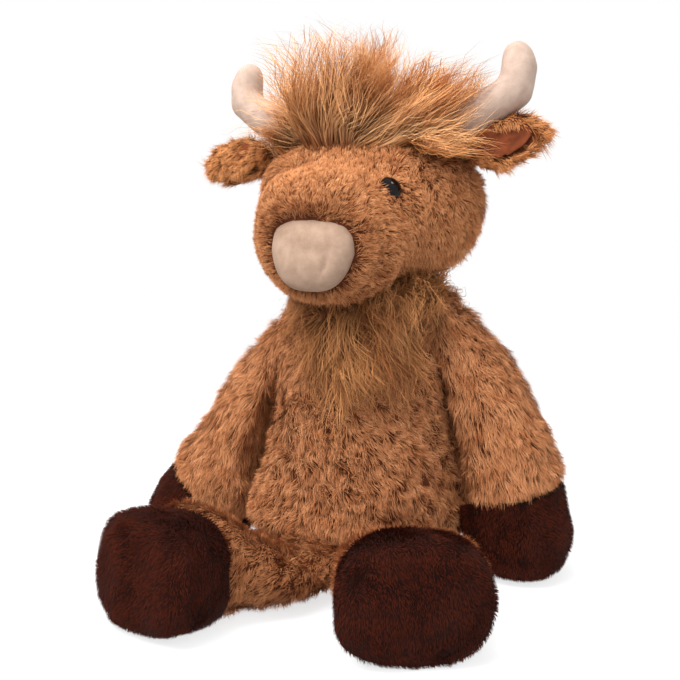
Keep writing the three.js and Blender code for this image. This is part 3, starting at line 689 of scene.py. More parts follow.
FORELOCK = dict(density=1.05e6, length=78 * MM, length_spread=0.5, width=0.7 * MM, lift=0.2, bend=0.0,
                tousle=0.8, tousle_size=27 * MM, frizz=0.1, clump=0.95, clump_size=14 * MM, fine_clump=0.55,
                droop=0.1, curl=0.5, curl_size=30 * MM, tone_spread=0.55, patch=0.6, roundness=0.5, lie=0.2,
                crest=0.372)
RUFF = dict(FORELOCK, density=1.0e6, length=48 * MM, width=0.6 * MM, droop=0.2, clump_size=12 * MM, curl=0.8,
            curl_size=18 * MM, tousle=0.6, tousle_size=16 * MM, lie=1.0)
TUFT = dict(FORELOCK, density=1.6e6, length=16 * MM, clump_size=6 * MM)


def finish(obj, body, look=None):
    """Gives a piece its look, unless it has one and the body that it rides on"""
    if look is not None:
        obj.data.materials.clear()
        obj.data.materials.append(LOOKS[look])
    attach(obj, body)


# Torso

TORSO_NODES = ("torso_skin", "torso_stuffing", "pellet_bag")
BODY_CELL = 3 * MM              # of the meshes of torso and head
LIMB_CELL = 2.5 * MM
SMALL_CELL = 1.5 * MM           # of horns, ears and tail
LINING_CELL = 1.2 * MM
TORSO_DEPTH = 4 * MM
FOLD_END = 0.05                 # share of a fold's length by which its ends are cut short
# Folds on the belly: from where, to where, width and depth
TORSO_FOLDS = (
    ((-0.03, -0.02, 0.078), (0.03, -0.02, 0.082), 4 * MM, 3.5 * MM),
    ((-0.032, -0.02, 0.106), (0.01, -0.02, 0.104), 4 * MM, 3 * MM),
    ((-0.045, -0.01, 0.10), (-0.04, -0.015, 0.04), 5 * MM, 3 * MM),
)
# Swells behind the left hip and at the right one: place, width and height
TORSO_SWELLS = (
    ((0.07, 0.062, 0.026), 30 * MM, 9 * MM),
    ((-0.06, 0.025, 0.036), 30 * MM, 16.5 * MM),
)
NECK_SWELL = ((0.054, 0.056, 0.197), 24 * MM, 14 * MM)
# What fills the seat between the thighs, as an egg shape: its middle and its radii
LOWER_BELLY = ((0.002, 0.047, 0.041), (0.062, 0.062, 0.039))
BELLY = (0.06, 0.09, 0.13, 0.16)        # heights between which its fur lies to the left
BELLY_LEAN, SIDE_LEAN = 0.8, 0.35
HALF_BLEND = 0.2                # front and back pile blend where the skin faces ahead or back less than this
LEVEL = np.array([1.0, 1.0, 0.0])

arms_and_hands = node_tree("arm_sleeve_l", "arm_sleeve_r", "hand_hoof_l", "hand_hoof_r")
sleeves = node_tree("arm_sleeve_l", "arm_sleeve_r")
trunk = node_tree("torso_skin")
head_skin = node_tree("head_skin")


def crease(points, start, end, width, depth):
    """How deep a fold from start to end is at each point"""
    a, b = np.array(start), np.array(end)
    share = np.clip(((points - a) @ (b - a)) / ((b - a) @ (b - a)), 0, 1)
    away = length_of(points - (a + share[:, None] * (b - a)))
    ends = np.sin(math.pi * np.clip(share * (1 - 2 * FOLD_END) + FOLD_END, 0, 1))
    return depth * np.exp(-(away / width) ** 2) * ends


def torso_shape(co, normals):
    """The folds of the belly, the swells by the hips, and a level one at the side of the neck"""
    out = np.zeros(len(co))
    for fold in TORSO_FOLDS:
        out -= crease(co, *fold)
    for swell in TORSO_SWELLS:
        out += bulge(co, *swell)
    return normals * out[:, None] + unit(normals * LEVEL) * bulge(co, *NECK_SWELL)[:, None]


def torso_fields(front):
    """Fur that lies down and outwards, and to the left on the belly, and is bare where the limbs cover it"""
    def fields(co, normals):
        nap = np.tile([0.0, 0.0, -1.0], (len(co), 1))
        nap[:, 0] += SIDE_LEAN * np.sign(co[:, 0]) * ease(0, 30 * MM, np.abs(co[:, 0]))
        nap[:, 0] += BELLY_LEAN * between(*BELLY, co[:, 2])
        cover = ease(0.5 * MM, 2 * MM, gap_to(co, arms_and_hands)) * ease(2 * MM, 6 * MM, gap_to(co, head_skin))
        for s in SIDES:
            cover *= bare_where_covered(co, legs[s])
        cover *= ease(3 * MM, 8 * MM, co[:, 2])
        half = ease(-HALF_BLEND, HALF_BLEND, -normals[:, 1] if front else normals[:, 1])
        return nap, np.ones(len(co)), cover * half
    return fields


TOUCH = 1.5 * MM                # how far out of the tips of its pile a skin swells to touch another
TOUCH_NEAR, TOUCH_FAR = 3 * MM, 16 * MM


def touching(depth, other):
    """Less deep under the pile where another piece is near, so that the two swell until they touch"""
    return lambda co: depth - (depth + TOUCH) * (1 - ease(TOUCH_NEAR, TOUCH_FAR, gap_to(co, other)))


torso = body_skin("torso_cloth", TORSO_NODES, BODY_CELL, touching(TORSO_DEPTH, sleeves),
                  shape_it=torso_shape, more=ball(*LOWER_BELLY))

# Head

NOSE_HALF = (29.5 * MM, 12 * MM, 25.5 * MM)     # width, depth and height
NOSE_SQUARENESS, NOSE_BULGE = 2.9, 2.4          # powers of its outline and of its profile
NOSE_TAPER = 0.24                               # how much narrower its lower end is
NOSE_FOLD_SIDE, NOSE_FOLD_WIDTH, NOSE_FOLD_DEPTH = 17 * MM, 1.8 * MM, 1.5 * MM
NOSE_FOLD_BOW = 20                              # per metre: its ends curve to the middle
NOSE_FOLD_FADE = (0.4, 0.75)                    # shares of the half height
NOSE_TILT = math.radians(10)
NOSE_MOVED = (5.5 * MM, 0.5 * MM, 3 * MM)       # from the neck's axis, the CAD pad's front and its middle


def make_nose():
    """The pad on the muzzle: a squarish pillow, narrower below, with a soft fold on one side"""
    low, high = (straight(np.array([corner]))[0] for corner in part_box("nose_pad"))
    half_wide, half_deep, half_high = NOSE_HALF
    shape = bmesh.new()
    bmesh.ops.create_icosphere(shape, subdivisions=5, radius=1)
    made = bpy.data.meshes.new("nose_velour")
    shape.to_mesh(made)
    shape.free()
    d = read_points(made)
    flat = np.abs(d[:, 0] / half_wide) ** NOSE_SQUARENESS + np.abs(d[:, 2] / half_high) ** NOSE_SQUARENESS
    full = flat ** (NOSE_BULGE / NOSE_SQUARENESS) + np.abs(d[:, 1] / half_deep) ** NOSE_BULGE
    p = d / (full ** (1 / NOSE_BULGE))[:, None]
    p[:, 0] *= 1 + NOSE_TAPER * np.minimum(p[:, 2], 0) / half_high
    from_fold = p[:, 0] - NOSE_FOLD_SIDE + NOSE_FOLD_BOW * p[:, 2] ** 2
    fold = np.exp(-(from_fold / NOSE_FOLD_WIDTH) ** 2) * (p[:, 1] < 0)
    p[:, 1] += NOSE_FOLD_DEPTH * fold * (1 - ease(*NOSE_FOLD_FADE, np.abs(p[:, 2]) / half_high))
    c, s = math.cos(NOSE_TILT), math.sin(NOSE_TILT)
    p = np.stack([p[:, 0], p[:, 1] * c + p[:, 2] * s, p[:, 2] * c - p[:, 1] * s], 1)
    aside, back, up = NOSE_MOVED
    middle = (low + high) / 2
    p += np.array([NECK[0] + aside, low[1] + half_deep + back, middle[2] + up]) - np.array(NECK)
    write_points(made, turned(p) + np.array(NECK))
    made.polygons.foreach_set("use_smooth", [True] * len(made.polygons))
    return new_object("nose_velour", made)


nose = make_nose()
nose_shape = object_tree(nose)
nose_at = straight(node_middle("nose_pad")[None])[0]
eyes_at = {s: straight(node_middle(f"eye_{s}")[None])[0] for s in SIDES}
horn_shapes = node_tree("horn_l", "horn_r")
ear_shapes = node_tree("ear_l", "ear_r")

HEAD_DEPTH = 5 * MM
DEPTH_AT_NOSE, DEPTH_AT_EYE = 0.15, 0.35        # shares of it
# Swells on either side of the middle of the face: place, width and height
HEAD_SWELLS = (
    ((0.05, 0.02, 0.238), 35 * MM, 5 * MM),         # cheek
    ((0.064, 0.06, 0.226), 28 * MM, 7 * MM),        # jaw
    ((0.074, 0.06, 0.262), 30 * MM, 7 * MM),        # side of the head
    ((0.064, 0.05, 0.284), 22 * MM, 4 * MM),        # temple
    ((0.024, -0.014, 0.272), 20 * MM, 6 * MM),      # bridge of the muzzle
    ((0.0, -0.016, 0.2), 26 * MM, 9 * MM),          # chin
    ((0.032, -0.022, 0.212), 22 * MM, 4 * MM),      # side of the chin
)
NOSE_RIM = 4 * MM                               # how far the muzzle stands up around the nose
BROW_HEIGHTS, BROW_BACK, BROW_SIDE = (0.256, 0.278), (0.03, 0.06), (0.03, 0.05)
MUZZLE = (45 * MM, 70 * MM)                     # from the nose, where the fur stops following it
FACE_REACH, MUZZLE_SHORTER, BROW_SHORTER, RIM_LONGER = 0.85, 0.1, 0.1, 0.3      # shares of its fur's length
JAW_TUFT = ((0.058, 0.06, 0.214), 26 * MM, 0.9)     # longer fur: place, width and added share
EYE_REACH, ABOVE_EYE = 0.5, 0.8                 # share of the fur's length below an eye, and how far above it
                                                # that share rises back to 1
EYE_BARE = (4.6 * MM, 6.2 * MM)                 # from the middle of an eye
FACE_NAP, BROW_NAP = np.array([0.0, 0.5, -1.0]), np.array([0.0, 0.2, 1.0])


def head_depth(co):
    """The cloth comes nearer to the tips of the fur at the nose and the eyes"""
    near_nose = ease(2 * MM, 12 * MM, gap_to(co, nose_shape))
    q = straight(co)
    near_eye = np.ones(len(co))
    for s in SIDES:
        near_eye *= ease(5 * MM, 15 * MM, length_of(q - eyes_at[s]))
    return HEAD_DEPTH * np.minimum(DEPTH_AT_NOSE + (1 - DEPTH_AT_NOSE) * near_nose,
                                   DEPTH_AT_EYE + (1 - DEPTH_AT_EYE) * near_eye)


def head_shape(co, normals):
    """The swells of the face, and the rim in which the nose sits"""
    q = straight(co)
    q[:, 0] = np.abs(q[:, 0] - NECK[0])
    out = np.zeros(len(q))
    for swell in HEAD_SWELLS:
        out += bulge(q, *swell)
    out += NOSE_RIM * between(0, 5 * MM, 7 * MM, 20 * MM, gap_to(co, nose_shape))
    return normals * out[:, None]


def head_fields(front):
    """Fur that radiates from the nose, turns up on the brow, lies down elsewhere, and is short by the eyes"""
    def fields(co, normals):
        q = straight(co)
        wide = np.abs(q[:, 0] - NECK[0])
        away = q - nose_at
        muzzle = 1 - ease(*MUZZLE, length_of(away))
        brow = ease(*BROW_HEIGHTS, q[:, 2]) * (1 - ease(*BROW_BACK, q[:, 1])) * (1 - ease(*BROW_SIDE, wide))
        rest = FACE_NAP * (1 - brow[:, None]) + BROW_NAP * brow[:, None]
        nap = turned(unit(away) * muzzle[:, None] + unit(rest) * (1 - muzzle[:, None]))
        to_nose = gap_to(co, nose_shape)
        rim = between(0, 2 * MM, 4 * MM, 12 * MM, to_nose)
        aside = np.stack([wide, q[:, 1], q[:, 2]], 1)
        reach = FACE_REACH - MUZZLE_SHORTER * muzzle - BROW_SHORTER * brow + RIM_LONGER * rim
        reach += bulge(aside, *JAW_TUFT)
        cover = ease(0.6 * MM, 2 * MM, to_nose) * outside(co, nose_shape)
        cover *= ease(1 * MM, 3 * MM, gap_to(co, horn_shapes)) * ease(1 * MM, 4 * MM, gap_to(co, ear_shapes))
        for s in SIDES:
            near = length_of(q - eyes_at[s])
            cover *= ease(*EYE_BARE, near)
            above = ease(-1 * MM, 4 * MM, q[:, 2] - eyes_at[s][2])
            clear = np.maximum(ease(8 * MM, 18 * MM, near), ABOVE_EYE * above)
            reach *= EYE_REACH + (1 - EYE_REACH) * clear
        ahead = -normals[:, 1] * math.cos(LOOK_ASIDE) - normals[:, 0] * math.sin(LOOK_ASIDE)
        half = ease(-HALF_BLEND, HALF_BLEND, ahead if front else -ahead)
        return nap, reach, cover * half
    return fields


head = body_skin("head_cloth", ("head_skin", "head_stuffing"), BODY_CELL, head_depth, shape_it=head_shape)
head_front = grow("head_pile_front", head, head_fields(True), LOOKS["face fur"], seed=21, **FACE)
head_back = grow("head_pile_back", head, head_fields(False), LOOKS["face fur"], seed=22, **FUR)


def fuzz_fields(co, normals):
    """Even fuzz that lies down"""
    return np.tile([0.0, 0.2, -1.0], (len(co), 1)), np.ones(len(co)), np.ones(len(co))


nose_fuzz = grow("nose_fuzz", nose, fuzz_fields, LOOKS["nose fuzz"], segments=1, seed=31, **FUZZ)

BEAD_FRONT, BEAD_BACK = 4.5 * MM, 2 * MM        # how far a bead stands out before and behind its widest place


def make_eye(side):
    """A black bead, domed in front and flatter behind, on the axis of its shank"""
    washer = Vector(node_middle(f"eye_washer_{side}"))
    axis = (Vector(node_middle(f"eye_{side}")) - washer).normalized()
    points = node_shape(f"eye_{side}")[0]
    front = max(p.dot(axis) for p in points)
    foot = washer + axis * (front - BEAD_FRONT - washer.dot(axis))
    radius = max((p - foot - axis * (p - foot).dot(axis)).length for p in points)
    shape = bmesh.new()
    bmesh.ops.create_uvsphere(shape, u_segments=48, v_segments=32, radius=radius)
    for vert in shape.verts:
        vert.co.z *= (BEAD_FRONT if vert.co.z > 0 else BEAD_BACK) / radius
    made = bpy.data.meshes.new(f"bead_{side}")
    turn = axis.to_track_quat("Z", "X").to_matrix().to_4x4()
    turn.translation = foot
    shape.transform(turn)
    shape.to_mesh(made)
    shape.free()
    made.polygons.foreach_set("use_smooth", [True] * len(made.polygons))
    return new_object(f"bead_{side}", made)


# Forelock

# From the right ear to the left: how far the locks lean to the left, and how long they are
FORELOCK_FAN = ((-0.06, -1.2), (-0.03, -0.5), (-0.015, -0.1), (0.0, 0.35), (0.02, 1.05), (0.04, 1.5),
                (0.06, 1.3))
FORELOCK_REACH = ((-0.07, 0.4), (-0.05, 0.72), (-0.03, 1.12), (-0.016, 1.28), (-0.004, 0.88), (0.01, 0.82),
                  (0.03, 0.98), (0.05, 0.8), (0.07, 0.4))
HAIRLINE = 0.295
HAIRLINE_ARCH = (42 * MM, 10 * MM, 7 * MM)      # it rises over each horn: how far aside, width and height
HAIRLINE_DIP, HAIRLINE_END = 4 * MM, 25 * MM    # it falls beyond the horns, and ends before the ears
FORELOCK_BACK = (0.094, 0.104)
FORELOCK_MIDDLE = 0.05                          # hairs before this lean forward, and behind it back,
FORELOCK_TO_BACK, FORELOCK_AHEAD = 7, 0.15      # by this for each metre, and all of them a little forward
LOW_LOCKS_LEAN, LOW_LOCKS_SHORTER = 0.5, 0.4    # low on the left
SWEEP_LEFT, SWEEP_DOWN = 0.25, 0.35             # on the left, and away from the middle


def forelock_fields(co, normals):
    """Locks that fan out between and over the horns, lower and shorter at their sides"""
    q = straight(co)
    side = q[:, 0] - NECK[0]
    wide = np.abs(side)
    aside, width, rise = HAIRLINE_ARCH
    arch = rise * np.exp(-((wide - aside) / width) ** 2)
    hairline = (HAIRLINE + arch - HAIRLINE_DIP * ease(45 * MM, 58 * MM, wide)
                + HAIRLINE_END * ease(66 * MM, 78 * MM, wide))
    above = q[:, 2] - hairline
    top = ease(0.0, 3 * MM, above) * (1 - ease(*FORELOCK_BACK, q[:, 1]))
    fan = np.interp(side, *np.array(FORELOCK_FAN).T)
    fan += LOW_LOCKS_LEAN * ease(30 * MM, 50 * MM, side) * (1 - ease(3 * MM, 12 * MM, above))
    back = (q[:, 1] - FORELOCK_MIDDLE) * FORELOCK_TO_BACK - FORELOCK_AHEAD
    nap = np.stack([fan, back, np.ones(len(q))], 1)
    reach = np.interp(side, *np.array(FORELOCK_REACH).T)
    reach *= 1 - LOW_LOCKS_SHORTER * ease(28 * MM, 45 * MM, side) * (1 - ease(4 * MM, 14 * MM, above))
    left = SWEEP_LEFT * ease(-10 * MM, 20 * MM, side)
    up = -SWEEP_DOWN * ease(20 * MM, 70 * MM, wide)
    sweep = turned(np.stack([left, np.zeros(len(q)), up], 1))
    return turned(unit(nap)), reach, top * ease(0, 1.5 * MM, gap_to(co, horn_shapes)), sweep


forelock = grow("forelock_hair", head, forelock_fields, LOOKS["long"], segments=8, seed=41, **FORELOCK)


# Ruff

RUFF_FOOT = 0.15                                # height of its lowest point
RUFF_TOP = (0.206, 0.212)                       # heights between which it ends under the chin
RUFF_HALF, RUFF_SPREAD = 12 * MM, 0.6           # half its width at the foot, and how that grows with height
RUFF_RIGHT_LESS, FLANK_MORE = 15 * MM, 24 * MM  # narrower to the right, and wider where it climbs the neck
PARTING = -4 * MM                               # to the toy's right of its middle
PARTING_COVER = 0.35                            # share of the hairs that grow on the parting
PARTED_RIGHT, PARTED_LEFT, PARTED_WIDTH = 0.25, 0.45, 9 * MM    # how far they lean away from it
LEFT_OUT, LOW_IN = 3, 16                        # lean for each metre aside: out on the left, and in below
RUFF_AHEAD = 0.12
FLANK_NAP = np.array([-0.5, -0.6, -0.7])


def ruff_fields(co, normals):
    """A bib of hair, parted near its middle, that climbs the left side of the neck"""
    side = co[:, 0] - NECK[0]
    z = co[:, 2]
    inside = between(RUFF_FOOT, 0.165, *RUFF_TOP, z) * ease(0.25, 0.45, -normals[:, 1])
    flank = ease(28 * MM, 42 * MM, side) * ease(0.178, 0.192, z)
    inside = np.maximum(inside, flank * (1 - ease(*RUFF_TOP, z)) * ease(-0.5, -0.2, -normals[:, 1]))
    half = RUFF_HALF + RUFF_SPREAD * (z - RUFF_FOOT) - RUFF_RIGHT_LESS * (side < 0) + FLANK_MORE * flank
    inside *= 1 - ease(0.0, 8 * MM, np.abs(side) - half)
    parting = side - PARTING
    inside *= PARTING_COVER + (1 - PARTING_COVER) * ease(2 * MM, 7 * MM, np.abs(parting))
    parted = np.where(parting < 0, PARTED_RIGHT, PARTED_LEFT) * np.tanh(parting / PARTED_WIDTH)
    low = 1 - ease(0.165, 0.19, z)
    lean = side * LEFT_OUT * (side > 0) + parted - side * LOW_IN * low
    nap = np.stack([lean, np.full(len(co), -RUFF_AHEAD), np.full(len(co), -1.0)], 1)
    nap = nap * (1 - flank[:, None]) + FLANK_NAP * flank[:, None]
    reach = 1 - 0.3 * ease(20 * MM, 45 * MM, side) - 0.55 * ease(8 * MM, 26 * MM, -side) * ease(0.185, 0.2, z)
    return nap, reach, inside


ruff = grow("ruff_hair", torso, ruff_fields, LOOKS["ruff"], segments=7, seed=51, **RUFF)

# Horns, ears

HORN_SINK = {"l": 0.0, "r": 5 * MM}             # how much lower its tip is than the CAD horn's
HORN_TIP = (0.3, 0.368)
HORN_OUT = 1.2 * MM
EAR_DROOP = {"l": -2 * MM, "r": 4 * MM}         # the same for an ear, and how far it is drawn in at its tip
EAR_PULL = {"l": 3 * MM, "r": 0.0}
EAR_ROLL = {"l": 8 * MM, "r": 0.0}              # how far its lower edge is rolled forward
EAR_FOLD = 0.45                                 # share of the lining's height below which it rolls
EAR_ROOT, EAR_LENGTH = 60 * MM, 70 * MM
EAR_OPEN = {"l": 0.84, "r": -0.4}               # share of each lining's height that no fur hangs over


def horn_shape(side):
    """The horn bent down towards its tip"""
    def shape_it(co, normals):
        return np.array([0.0, 0.0, -1.0]) * (HORN_SINK[side] * ease(*HORN_TIP, co[:, 2]))[:, None]
    return shape_it


def ear_shape(side):
    """The ear hung or raised and drawn in towards its tip, and rolled forward below"""
    low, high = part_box(f"ear_lining_{side}")

    def shape_it(co, normals):
        away = np.abs(co[:, 0] - NECK[0]) - EAR_ROOT
        tip = ease(0, EAR_LENGTH, away)
        fold = low[2] + (high[2] - low[2]) * EAR_FOLD + 4 * MM * tip
        below = np.maximum(fold - co[:, 2], 0) / (fold - low[2])
        roll = EAR_ROLL[side] * np.minimum(below, 1.3) * ease(0.0, 0.3, tip)
        return np.stack([-SIDES[side] * EAR_PULL[side] * tip, -roll, -EAR_DROOP[side] * tip], 1)
    return shape_it


def open_edge(side):
    """The height below which no fur hangs over the lining"""
    low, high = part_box(f"ear_lining_{side}")
    return low[2] + (high[2] - low[2]) * EAR_OPEN[side]


def ear_fields(side):
    """Fur that points to the tip, bare where the lining shows"""
    lining = node_tree(f"ear_lining_{side}")

    def fields(co, normals):
        nap = turned(np.tile([SIDES[side], -0.1, -0.25], (len(co), 1)))
        bare = 1 - ease(1 * MM, 3 * MM, gap_to(co, lining))
        bare *= 1 - ease(-2 * MM, 2 * MM, co[:, 2] - open_edge(side))
        return nap, np.ones(len(co)), 1 - bare
    return fields


def fringe_fields(side):
    """Fur that hangs over the upper part of the lining"""
    def fields(co, normals):
        nap = turned(np.tile([SIDES[side] * 0.8, -0.2, -0.6], (len(co), 1)))
        cover = ease(-2 * MM, 2 * MM, co[:, 2] - open_edge(side)) * ease(-0.2, 0.2, -normals[:, 1])
        return nap, np.ones(len(co)), cover
    return fields


horns = {s: body_skin(f"horn_velour_{s}", (f"horn_{s}",), SMALL_CELL, -HORN_OUT, 24, horn_shape(s))
         for s in SIDES}
ears = {s: body_skin(f"ear_cloth_{s}", (f"ear_{s}",), SMALL_CELL, 2 * MM, 6, ear_shape(s)) for s in SIDES}
linings = {s: body_skin(f"ear_lining_velour_{s}", (f"ear_lining_{s}",), LINING_CELL, 0.0, 5, ear_shape(s))
           for s in SIDES}
fringes = {s: grow(f"ear_fringe_{s}", linings[s], fringe_fields(s), LOOKS["ear fur"], seed=65, **FRINGE)
           for s in SIDES}
ear_piles = {s: grow(f"ear_pile_{s}", ears[s], ear_fields(s), LOOKS["ear fur"], seed=61, **EAR) for s in SIDES}
horn_fuzz = {s: grow(f"horn_fuzz_{s}", horns[s], fuzz_fields, LOOKS["pale fuzz"], segments=1, seed=71, **FUZZ)
             for s in SIDES}

# Arms, legs

# What the toy's left and right limbs are moved by, off their CAD shapes
ARM_DEPTH = {"l": 1 * MM, "r": 0.5 * MM}        # of the sleeve's cloth under the tips of its fur
HAND_SWELL = {"l": 6 * MM, "r": 9 * MM}         # of the hoof at half its height
HAND_OUTER = {"l": 0.1, "r": 1.0}               # share of it on the outer side
HAND_CORNER = 0.2                               # how much its lower corners are rounded off
HAND_RIM, HAND_RIM_RAISED = 3 * MM, 9 * MM      # its upper edge on the inner side
THIGH_SWELL = {"l": 3 * MM, "r": 20 * MM}       # low on the inner side of the leg, where it lies on the floor
ANKLE_SWELL = {"l": 6 * MM, "r": 0.0}           # on the outer side by the hoof
THIGH_SINK = {"l": 0.12, "r": 0.45}             # share of its height that the leg loses towards the hip
LEG_SINK = {"l": 0.08, "r": 0.0}                # and all along
SOLE_SWELL = {"l": 0.0, "r": 8 * MM}
FOOT_CORNER = {"l": 0.0, "r": 2 * MM}           # how far the sole's corners are pushed out
FOOT_SINK = {"l": 0.0, "r": 4 * MM}             # how much lower the top of the hoof is
FOOT_SHIFT = {"l": -2.5 * MM, "r": 1.5 * MM}    # how far the sole is moved to the toy's left
SOLE_TILT = {"l": 0.2, "r": 0.08}               # and how much more for each metre above its middle


def arm_fields(side):
    """Fur that lies down the sleeve, shorter by the hoof, and bare where the hoof or the torso covers it"""
    hoof = node_tree(f"hand_hoof_{side}")
    sleeve = node_tree(f"arm_sleeve_{side}")

    def fields(co, normals):
        nap = np.tile([SIDES[side] * 0.35, -0.05, -1.0], (len(co), 1))
        cover = bare_where_covered(co, hands[side]) * ease(0, 1 * MM, gap_to(co, trunk))
        cover *= 1 - ease(5 * MM, 7 * MM, gap_to(co, sleeve))
        return nap, 0.75 + 0.25 * ease(2 * MM, 14 * MM, gap_to(co, hoof)), cover
    return fields


def leg_fields(side):
    """Fur that lies along the leg, bare where the hoof or the torso covers it, and where it meets the floor"""
    hoof = node_tree(f"foot_hoof_{side}")
    sleeve = node_tree(f"leg_sleeve_{side}")

    def fields(co, normals):
        nap = np.tile([SIDES[side] * 0.45, -1.0, -0.3], (len(co), 1))
        to_hoof = gap_to(co, hoof)
        cover = ease(-0.5 * MM, 0.5 * MM, to_hoof) * bare_where_covered(co, torso)
        cover *= ease(2 * MM, 7 * MM, co[:, 2])
        cover *= np.maximum(1 - ease(9 * MM, 11 * MM, gap_to(co, sleeve)), ease(8 * MM, 12 * MM, to_hoof))
        return nap, np.ones(len(co)), cover
    return fields


def hoof_fields(flow):
    """Short pile that lies along one direction, bare on the floor"""
    def fields(co, normals):
        return np.tile(flow, (len(co), 1)), np.ones(len(co)), ease(-1 * MM, 3 * MM, co[:, 2])
    return fields


def leg_shape(side):
    """The thigh lower towards the hip and spread on the floor, and the leg fuller on its outer side"""
    out = SIDES[side]
    hoof = node_tree(f"foot_hoof_{side}")

    def shape_it(co, normals):
        to_hoof = gap_to(co, hoof)
        thigh = ease(5 * MM, 45 * MM, to_hoof)
        inward = ease(0.0, 0.6, -normals[:, 0] * out * 0.8 - normals[:, 1] * 0.6)
        low = 1 - ease(30 * MM, 65 * MM, co[:, 2])
        moved = normals * (THIGH_SWELL[side] * inward * low * thigh)[:, None]
        outward = ease(0.0, 0.6, normals[:, 0] * out) * ease(10 * MM, 30 * MM, co[:, 2])
        moved += normals * (ANKLE_SWELL[side] * outward * (1 - thigh))[:, None]
        moved[:, 2] = np.maximum(moved[:, 2], 0)
        moved[:, 2] -= co[:, 2] * (THIGH_SINK[side] * ease(0, 70 * MM, to_hoof) + LEG_SINK[side])
        return moved
    return shape_it


def in_box(name, points):
    """Places in a CAD node's box, where -1 and 1 are its sides, and the box's middle"""
    low, high = (np.array(corner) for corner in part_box(name))
    middle = (low + high) / 2
    return (points - middle) / ((high - low) / 2), middle


def hand_shape(side):
    """The hoof wider at half its height, its lower corners rounded off and its inner rim raised"""
    def shape_it(co, normals):
        offset, middle = in_box(f"hand_hoof_{side}", co)
        corner = np.minimum(offset[:, 0] ** 2, 1) * np.minimum(offset[:, 2], 0) ** 2
        moved = (co - middle) * np.array([-1.0, 0.0, -0.3]) * (HAND_CORNER * corner)[:, None]
        swell = HAND_SWELL[side] * (1 - ease(0.3, 1.0, np.abs(offset[:, 2])))
        moved[:, 0] += normals[:, 0] * swell * np.where(normals[:, 0] * SIDES[side] < 0, 1.0, HAND_OUTER[side])
        rim = ease(-0.1, 0.5, offset[:, 2]) * ease(-0.3, 0.6, -offset[:, 0] * SIDES[side])
        moved += normals * LEVEL * (HAND_RIM * rim)[:, None]
        moved[:, 2] += HAND_RIM_RAISED * rim
        return moved
    return shape_it


def foot_shape(side):
    """The round sole pushed out, made squarer, moved aside and tilted"""
    def shape_it(co, normals):
        offset, middle = in_box(f"foot_hoof_{side}", co)
        ahead = ease(0.2, 0.8, -normals[:, 1])
        corner = np.minimum(4 * offset[:, 0] ** 2 * offset[:, 2] ** 2, 1)
        moved = unit((co - middle) * np.array([1.0, 0.0, 1.0])) * (FOOT_CORNER[side] * corner)[:, None]
        moved[:, 1] -= SOLE_SWELL[side] * ahead
        moved[:, 2] -= FOOT_SINK[side] * ease(20 * MM, 90 * MM, co[:, 2])
        moved[:, 0] += (FOOT_SHIFT[side] + SOLE_TILT[side] * (co[:, 2] - middle[2])) * ahead
        moved[:, 2] = np.maximum(moved[:, 2], 1 * MM - co[:, 2])
        return moved
    return shape_it


arms, legs, hands, feet, piles = {}, {}, {}, {}, {}
for s, out in SIDES.items():
    hands[s] = body_skin(f"hand_cloth_{s}", (f"hand_hoof_{s}",), LIMB_CELL, 2.5 * MM, shape_it=hand_shape(s))
    arms[s] = body_skin(f"arm_cloth_{s}", (f"arm_sleeve_{s}", f"arm_stuffing_{s}"), LIMB_CELL,
                        touching(ARM_DEPTH[s], trunk))
    legs[s] = body_skin(f"leg_cloth_{s}", (f"leg_sleeve_{s}", f"leg_stuffing_{s}"), LIMB_CELL, 3 * MM,
                        shape_it=leg_shape(s))
    feet[s] = body_skin(f"foot_cloth_{s}", (f"foot_hoof_{s}",), LIMB_CELL, 1 * MM, shape_it=foot_shape(s))
    hand_flow, foot_flow = [out * 0.2, 0, -1.0], [out * 0.4, -0.3, -1.0]
    for name, skin, fields, look, seed, sizes in (
            ("arm_pile", arms[s], arm_fields(s), "fur", 81, ARM),
            ("leg_pile", legs[s], leg_fields(s), "leg fur", 91, FUR),
            ("hand_pile", hands[s], hoof_fields(hand_flow), "hoof fur", 101, HOOF),
            ("foot_pile", feet[s], hoof_fields(foot_flow), "hoof fur", 111, HOOF)):
        piles[name, s] = grow(f"{name}_{s}", skin, fields, LOOKS[look], seed=seed, **sizes)

# The torso's fur is grown here, because the legs must be there to say where it is bare
torso_front = grow("torso_pile_front", torso, torso_fields(True), LOOKS["fur"], seed=11, **FUR)
torso_back = grow("torso_pile_back", torso, torso_fields(False), LOOKS["fur"], seed=12, **FUR)

# Tail

tail = body_skin("tail_cloth", ("tail_rope",), SMALL_CELL, 2 * MM)
tuft = body_skin("tuft_cloth", ("tail_tuft",), SMALL_CELL, 5 * MM)


def tail_fields(co, normals):
    """Hair that hangs down and a little back"""
    return np.tile([0, 0.4, -1.0], (len(co), 1)), np.ones(len(co)), np.ones(len(co))


tail_pile = grow("tail_pile", tail, tail_fields, LOOKS["fur"], seed=121, **TAIL)
tuft_hair = grow("tuft_hair", tuft, tail_fields, LOOKS["long"], segments=5, seed=131, **TUFT)

# Put together

